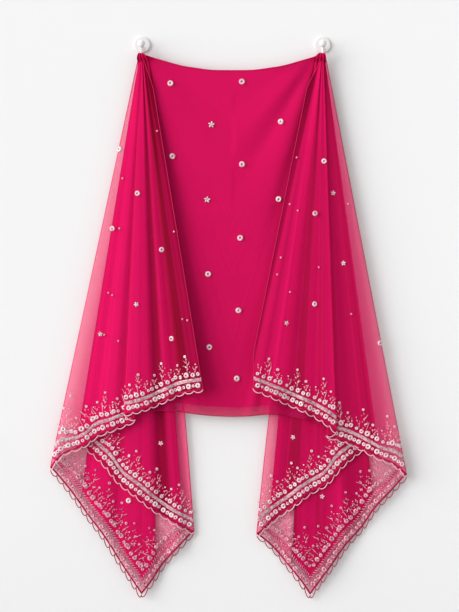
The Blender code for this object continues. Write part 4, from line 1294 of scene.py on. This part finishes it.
def shapes():
    """The small shapes that the beadwork is made of."""
    chosen = settings()
    ring = chosen.ring_radius
    return {
        "ring": (ring_shape(ring * 0.62, ring * 0.38), "pearl"),
        "backing": (dome_shape(ring * 1.9, ring * 1.9, 0.0006, 14), "backing"),
        "bead": (dome_shape(0.0034, 0.0034, 0.0020, 8), "pearl"),
        "pip": (dome_shape(0.0022, 0.0022, 0.0016, 7), "silver_bead"),
        "dot": (dome_shape(0.0030, 0.0030, 0.0016, 7), "pink_bead"),
        "leaf": (leaf_shape(0.0090, 0.0038, 0.0012), "pearl"),
        "tip": (leaf_shape(0.0095, 0.0030, 0.0010), "pink_bead"),
        "stem": (leaf_shape(0.0240, 0.0016, 0.0008), "pink_bead"),
        "star": (flower_shape(5, 0.0078, 0.0013), "pearl"),
    }


def border_marks(stretch):
    """All marks of a hem's border as arrays: kind, place, inset, size, turn."""
    marks = []
    uneven = np.random.default_rng(round(stretch.length * 1e6))
    count = max(1, round(stretch.length / LOOP_PITCH))
    step = stretch.length / count
    for index in range(count):
        middle = (index + 0.5) * step
        middle += uneven.uniform(-0.0012, 0.0012)
        row = RING_ROW + uneven.uniform(-0.0006, 0.0006)
        size = uneven.uniform(0.92, 1.06)
        marks.append(("backing", middle, row, size, 0.0))
        marks.append(("ring", middle, row, size, 0.0))
        marks.append(("pip", middle, row, 1.2, 0.0))
        edge = index * step + uneven.uniform(-0.0012, 0.0012)
        size = uneven.uniform(0.50, 0.78)
        marks.append(("backing", edge, row, size, 0.0))
        marks.append(("ring", edge, row, size, 0.0))
        marks.append(("dot", edge - 0.0055, RING_ROW + 0.0060, 0.8, 0.0))
        marks.append(("dot", edge + 0.0055, RING_ROW - 0.0050, 0.8, 0.0))
    repeats = max(1, round(stretch.length / SPRIG_REPEAT))
    step = stretch.length / repeats
    for index in range(repeats):
        middle = (index + 0.5) * step
        for kind, along, inset, size, turn in SPRIG:
            along += uneven.uniform(-0.0010, 0.0010)
            inset += uneven.uniform(-0.0010, 0.0010)
            size *= uneven.uniform(0.85, 1.12)
            marks.append((kind, middle + along, inset, size, float(turn)))
            if kind == "ring":
                marks.append(("backing", middle + along, inset, size, 0.0))
                marks.append(("pip", middle + along, inset, 0.9, 0.0))
    return marks


# Scattered motifs that show on the falls. Columns: layer, kind, distance from the hook towards
# the centre, drop below it
FALL_MOTIFS = {
    "left": [
        ("front_outer", "ring", -0.0574, 0.2740), ("front_inner", "ring", -0.0104, 0.3889),
        ("front_outer", "ring", -0.0757, 0.4802), ("front_inner", "ring", 0.0522, 0.5350),
        ("front_inner", "star", -0.0130, 0.6770), ("front_inner", "ring", 0.0783, 0.7660),
        ("front_outer", "star", -0.1070, 0.7540), ("middle", "star", 0.0496, 1.0388),
        ("back_end", "ring", -0.0339, 1.1876), ("front_inner", "speck", 0.0407, 0.2270),
        ("front_outer", "speck", -0.0496, 0.3497), ("front_outer", "speck", -0.0574, 0.4800),
        ("front_inner", "speck", 0.0848, 0.4890), ("front_outer", "speck", -0.0861, 0.6470),
        ("front_outer", "speck", -0.0757, 0.6530), ("front_inner", "speck", 0.1070, 0.7150),
        ("front_inner", "speck", 0.1195, 0.7180), ("front_outer", "speck", -0.0600, 0.7720),
        ("front_outer", "speck", -0.0965, 0.7560),
    ],
    "right": [
        ("front_inner", "ring", -0.0031, 0.3054), ("front_outer", "star", -0.0269, 0.3878),
        ("front_inner", "ring", 0.0206, 0.4410), ("front_outer", "star", -0.0538, 0.5700),
        ("front_inner", "ring", 0.0219, 0.6760), ("front_inner", "star", 0.0950, 0.7256),
        ("front_outer", "ring", -0.1477, 0.7778), ("middle", "star", 0.0767, 1.0230),
        ("back_end", "star", 0.0010, 1.1770), ("front_inner", "speck", 0.0679, 0.2960),
        ("front_outer", "speck", -0.0655, 0.4160), ("front_inner", "speck", 0.0859, 0.4176),
        ("front_inner", "speck", 0.0650, 0.4340), ("front_inner", "speck", 0.1094, 0.5560),
        ("front_inner", "speck", 0.1185, 0.6000), ("front_inner", "speck", 0.0102, 0.5807),
        ("front_inner", "speck", 0.0860, 0.6450), ("front_outer", "speck", -0.0745, 0.7020),
    ],
}


def find_place(stretch, inward, drop):
    """The place and the inset of the point of a stretch at a distance from the hook and a drop:
    of all the rays' points at that drop, the one nearest to that distance."""
    hem_drop, ray, slant = stretch.rays(stretch.along)[1:]
    insets = (1.0 - (drop - SHEET_TOP) / (hem_drop - SHEET_TOP)) * ray * slant
    spots = stretch.points(stretch.along, insets)
    across = spots[:, 0] * SIDES[stretch.side] + HOOK_SPACING / 2.0
    nearest = int(np.argmin(np.abs(across - inward)))
    return float(stretch.along[nearest]), float(insets[nearest])


def join_by_material(name, by_material):
    """One piece for each material, joined from its parts."""
    for finish, parts in by_material.items():
        points, faces = join_parts(parts)
        piece = new_mesh(f"{name}_{finish}", points, faces, material(finish))
        finish_piece(piece)


def add_marks(name, marks_by_stretch, face, tint=None):
    """Beadwork on a layer as one joined piece a material, from arrays of marks. A tint takes the
    place of every mark's own material."""
    library = shapes()
    by_material = {}
    for stretch, marks in marks_by_stretch:
        for kind in sorted({mark[0] for mark in marks}):
            rows = np.array([mark[1:] for mark in marks if mark[0] == kind], dtype=float)
            inside = (rows[:, 0] > 0.002) & (rows[:, 0] < stretch.length - 0.002)
            rows = rows[inside]
            if not len(rows):
                continue
            height = BACKING_HEIGHT if kind == "backing" else BEAD_HEIGHT
            spots, axes = stretch.frames(rows[:, 0], rows[:, 1], face, height)
            shape, finish = library[kind]
            placed = repeat(shape, spots, axes, rows[:, 2], np.radians(rows[:, 3]))
            by_material.setdefault(tint or finish, []).append(placed)
    join_by_material(name, by_material)


class STOLE_OT_border(bpy.types.Operator):
    """Set the ring flowers and sprigs along the embroidered hems"""
    bl_idname = "stole.border"
    bl_label = "Border beadwork"

    def execute(self, context):
        for side in SIDES:
            for layer, hems in LAYER_HEMS.items():
                if layer == "front_pleat":
                    continue
                stretches = [Stretch(side, hem) for hem in hems]
                marks = [(stretch, border_marks(stretch)) for stretch in stretches]
                face = WALL if layer == "back" else FRONT
                add_marks(f"border_{layer}_{side}", marks, face)
                if layer == "back":
                    add_marks(f"border_reverse_{side}", marks, FRONT, "reverse_work")
        return {"FINISHED"}


class STOLE_OT_motifs(bpy.types.Operator):
    """Scatter the small rings and stars over the net"""
    bl_idname = "stole.motifs"
    bl_label = "Scattered motifs"

    def execute(self, context):
        for side in SIDES:
            for hem in HEMS[side]:
                stretch = Stretch(side, hem)
                marks = []
                for layer, kind, inward, drop in FALL_MOTIFS[side]:
                    if layer == hem:
                        marks.extend(motif_marks(*find_place(stretch, inward, drop), kind))
                if marks:
                    add_marks(f"motifs_{hem}_{side}", [(stretch, marks)], FRONT)
        centre_motifs()
        return {"FINISHED"}


def motif_marks(place, inset, kind):
    """A scattered motif: a ring or a star on a dark backing with a bead in its middle, or a
    speck, a lone pink bead."""
    if kind == "speck":
        return [("dot", place, inset, 1.9, 0.0)]
    size = 1.0 if kind == "ring" else 0.85
    return [("backing", place, inset, size, 0.0), (kind, place, inset, size, 10.0),
            ("pip", place, inset, 1.1, 0.0)]


# Motifs that show on the centre stretch. Columns: kind, distance right of the mid-line, drop
CENTRE_MOTIFS = [
    ("ring", -0.1605, 0.1023), ("ring", 0.0253, 0.0979), ("ring", -0.1556, 0.2918),
    ("ring", 0.1266, 0.2018), ("ring", 0.0256, 0.3127), ("ring", 0.1211, 0.4035),
    ("ring", 0.0211, 0.5043), ("ring", -0.0626, 0.5982), ("ring", 0.0164, 0.6927),
    ("ring", -0.0595, 0.7882), ("ring", 0.0120, 0.8697), ("star", -0.0538, 0.2096),
    ("star", -0.0650, 0.4048), ("ring", 0.1150, 0.6000), ("ring", 0.1080, 0.7900),
    ("star", -0.1500, 0.4900), ("ring", -0.1480, 0.6850),
]


def centre_motifs():
    """Rings and stars on the centre stretch, laid on the net where their place meets it."""
    library = shapes()
    by_material = {}
    for kind, right, drop in CENTRE_MOTIFS:
        side = "left" if right < 0.0 else "right"
        inward = HOOK_SPACING / 2.0 - abs(right)
        step = 0.002

        def on_cloth(across, down):
            """A point of the centre stretch's net."""
            reach = np.hypot(across, down)
            depth = layer_depth("centre", reach) + shared_depth(side, np.array(across),
                                                                np.array(down))
            return place_in_frame(side, across, depth, down)

        spot = on_cloth(inward, drop)
        along = on_cloth(inward + step, drop) - spot
        along = along / np.linalg.norm(along)
        up = on_cloth(inward, drop - step) - spot
        out = np.cross(along, up)
        out = out / np.linalg.norm(out) * -np.sign(out[1])
        up = np.cross(out, along)
        axes = np.stack([along, up * np.sign(up[2]), out])[None]
        for part, size in (("backing", 1.1), (kind, 1.1), ("pip", 1.2)):
            shape, finish = library[part]
            lift = BACKING_HEIGHT if part == "backing" else BEAD_HEIGHT
            placed = repeat(shape, (spot + out * lift)[None], axes, np.array([size]),
                            np.array([0.2]))
            by_material.setdefault(finish, []).append(placed)
    join_by_material("motifs_centre", by_material)


def lathe(profile, centre, around=64):
    """A turned shape about an axis along Y: each profile row is a radius and a depth."""
    rows = np.array(profile, dtype=float)
    turn = np.linspace(0.0, 2.0 * math.pi, around, endpoint=False)
    points = np.stack([centre[0] + rows[:, :1] * np.cos(turn),
                       np.broadcast_to(rows[:, 1:], (len(rows), around)),
                       centre[2] + rows[:, :1] * np.sin(turn)], axis=-1)
    return points.reshape(-1, 3), grid_faces(len(rows), around, closed=True)


class STOLE_OT_hooks(bpy.types.Operator):
    """Turn the hooks' plates and knobs and give their rods the enamel"""
    bl_idname = "stole.hooks"
    bl_label = "Hooks"

    def execute(self, context):
        for side in SIDES:
            low, high = np.array(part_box(f"hook_plate_{side}"))
            centre = (low + high) / 2.0
            radius, front = (high[0] - low[0]) / 2.0, low[1]
            turn = np.linspace(0.0, math.pi / 2.0, 7)
            soft = 0.0022
            rim = np.stack([radius - soft + soft * np.cos(turn),
                            front + soft - soft * np.sin(turn)], axis=1)
            profile = np.concatenate([[(0.0002, 0.0), (radius, 0.0)], rim,
                                      [(radius * 0.55, front - 0.0001), (0.0002, front - 0.0002)]])
            points, faces = lathe(profile, centre)
            plate = new_mesh(f"plate_{side}", points, faces[:, ::-1], material("enamel"))
            finish_piece(plate)
            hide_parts(f"hook_plate_{side}")
            low, high = np.array(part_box(f"hook_ball_{side}"))
            middle = (low + high) / 2.0
            size = (high[2] - low[2]) / 2.0
            turn = np.linspace(0.02, math.pi - 0.02, 24)
            ball = np.stack([size * np.sin(turn), middle[1] + size * np.cos(turn)], axis=1)
            points, faces = lathe(ball, middle)
            knob = new_mesh(f"knob_{side}", points, faces, material("enamel"))
            finish_piece(knob)
            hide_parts(f"hook_ball_{side}")
            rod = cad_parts[f"hook_rod_{side}"]
            rod.data.materials.clear()
            rod.data.materials.append(material("enamel"))
        return {"FINISHED"}


class STOLE_OT_stage(bpy.types.Operator):
    """Set the wall, the floor, the light and the camera"""
    bl_idname = "stole.stage"
    bl_label = "Stage"

    def execute(self, context):
        scene = context.scene
        paint, tree, shader = plain_material("wall_paint", (0.858, 0.858, 0.860), 0.9)
        back = tree.nodes.new("ShaderNodeBsdfTransparent")
        facing = tree.nodes.new("ShaderNodeNewGeometry")
        mix = tree.nodes.new("ShaderNodeMixShader")
        output = tree.nodes["Material Output"]
        tree.links.new(facing.outputs["Backfacing"], mix.inputs["Fac"])
        tree.links.new(shader.outputs["BSDF"], mix.inputs[1])
        tree.links.new(back.outputs["BSDF"], mix.inputs[2])
        tree.links.new(mix.outputs["Shader"], output.inputs["Surface"])
        wall = new_mesh("wall", [(-3, WALL_BEHIND, FLOOR_LEVEL), (3, WALL_BEHIND, FLOOR_LEVEL),
                                 (3, WALL_BEHIND, 1.6), (-3, WALL_BEHIND, 1.6)],
                        [(0, 1, 2, 3)], paint, smooth=False)
        floor_paint = plain_material("floor_paint", (0.55, 0.55, 0.55), 0.9)[0]
        floor = new_mesh("floor", [(-4, -4, FLOOR_LEVEL), (4, -4, FLOOR_LEVEL),
                                   (4, 3, FLOOR_LEVEL), (-4, 3, FLOOR_LEVEL)],
                         [(0, 1, 2, 3)], floor_paint, smooth=False)
        world = bpy.data.worlds.new("studio")
        world.use_nodes = True
        world.node_tree.nodes["Background"].inputs["Color"].default_value = (1.0, 1.0, 1.0, 1.0)
        world.node_tree.nodes["Background"].inputs["Strength"].default_value = WORLD_STRENGTH
        scene.world = world
        lamp = bpy.data.lights.new("key", "SUN")
        lamp.energy = KEY_STRENGTH
        lamp.angle = KEY_SPREAD
        key = bpy.data.objects.new("key", lamp)
        key.rotation_euler = KEY_TURN
        scene.collection.objects.link(key)
        camera = bpy.data.objects.new("camera", bpy.data.cameras.new("camera"))
        lens = camera.data
        lens.sensor_fit = "VERTICAL"
        lens.sensor_height = SENSOR
        lens.lens = LENS
        distance = PHOTO_HEIGHT * METRES_PER_PIXEL * LENS / SENSOR
        camera.location = (CAMERA_AIM[0], -distance, CAMERA_AIM[1])
        camera.rotation_euler = (math.pi / 2.0, 0.0, 0.0)
        scene.collection.objects.link(camera)
        scene.camera = camera
        scene.view_settings.view_transform = "Standard"
        scene.cycles.transparent_max_bounces = 24
        return {"FINISHED"}




class StoleSettings(bpy.types.PropertyGroup):
    """Sizes and colours that a user would change"""
    # Lit and shaded copies of the net's and the dense cloth's colours; painted shade mixes between
    # them
    net_lit: FloatVectorProperty(name="Net, lit", description="Net on a crest",
                                    subtype="COLOR", size=3, default=(0.98, 0.014, 0.200))
    net_shaded: FloatVectorProperty(name="Net, in folds", description="Net in a fold",
                                  subtype="COLOR", size=3, default=(0.20, 0.0002, 0.010))
    dense_lit: FloatVectorProperty(name="Cloth, lit", description="Dense cloth on a crest",
                                      subtype="COLOR", size=3, default=(0.98, 0.006, 0.140))
    dense_shaded: FloatVectorProperty(name="Cloth, in folds", description="Dense cloth in a fold",
                                    subtype="COLOR", size=3, default=(0.20, 0.0002, 0.010))
    net_cover: FloatProperty(name="Net cover", description="How much one layer of net hides",
                             min=0.0, max=1.0, default=0.42, subtype="FACTOR")
    pearl: FloatVectorProperty(name="Beadwork", description="Pale thread and pearls",
                               subtype="COLOR", size=3, default=(0.93, 0.76, 0.79))
    silver: FloatVectorProperty(name="Silver", description="Metal thread and silver beads",
                                subtype="COLOR", size=3, default=(0.62, 0.50, 0.52))
    enamel: FloatVectorProperty(name="Hooks", description="White enamel of the hooks",
                                subtype="COLOR", size=3, default=(0.80, 0.80, 0.79))
    column_spacing: FloatProperty(name="Cloth detail", description="Distance between columns",
                                  unit="LENGTH", default=0.0035)
    cord_radius: FloatProperty(name="Lace cord", description="Radius of the edging's cord",
                               unit="LENGTH", default=0.0013)
    ring_radius: FloatProperty(name="Ring flower", description="Outer radius of a ring flower",
                               unit="LENGTH", default=0.0072)
    stitch_pitch: FloatProperty(name="Braid stitch", description="Distance between stitches",
                                unit="LENGTH", default=0.0036)


STEPS = (STOLE_OT_falls, STOLE_OT_centre, STOLE_OT_gathers, STOLE_OT_hems, STOLE_OT_edging,
         STOLE_OT_braid, STOLE_OT_border, STOLE_OT_motifs, STOLE_OT_hooks, STOLE_OT_stage)


class STOLE_PT_panel(bpy.types.Panel):
    """Lists the steps that dress the stole"""
    bl_idname = "STOLE_PT_panel"
    bl_label = "Hung Dupatta Stole"
    bl_space_type = "VIEW_3D"
    bl_region_type = "UI"
    bl_category = "Stole"

    def draw(self, context):
        chosen = context.scene.stole_settings
        for name in StoleSettings.__annotations__:
            self.layout.prop(chosen, name)
        for step in STEPS:
            self.layout.operator(step.bl_idname)


def register():
    """Register the settings, the steps and the panel."""
    for entry in (StoleSettings, *STEPS, STOLE_PT_panel):
        bpy.utils.register_class(entry)
    bpy.types.Scene.stole_settings = PointerProperty(type=StoleSettings)


def unregister():
    """Take the settings, the steps and the panel out again."""
    del bpy.types.Scene.stole_settings
    for entry in reversed((StoleSettings, *STEPS, STOLE_PT_panel)):
        bpy.utils.unregister_class(entry)


def main():
    """Dress the frame, one step after another."""
    register()
    bpy.ops.stole.falls()
    bpy.ops.stole.centre()
    bpy.ops.stole.gathers()
    bpy.ops.stole.hems()
    bpy.ops.stole.edging()
    bpy.ops.stole.braid()
    bpy.ops.stole.border()
    bpy.ops.stole.motifs()
    bpy.ops.stole.hooks()
    bpy.ops.stole.stage()


if __name__ == "__main__":
    main()
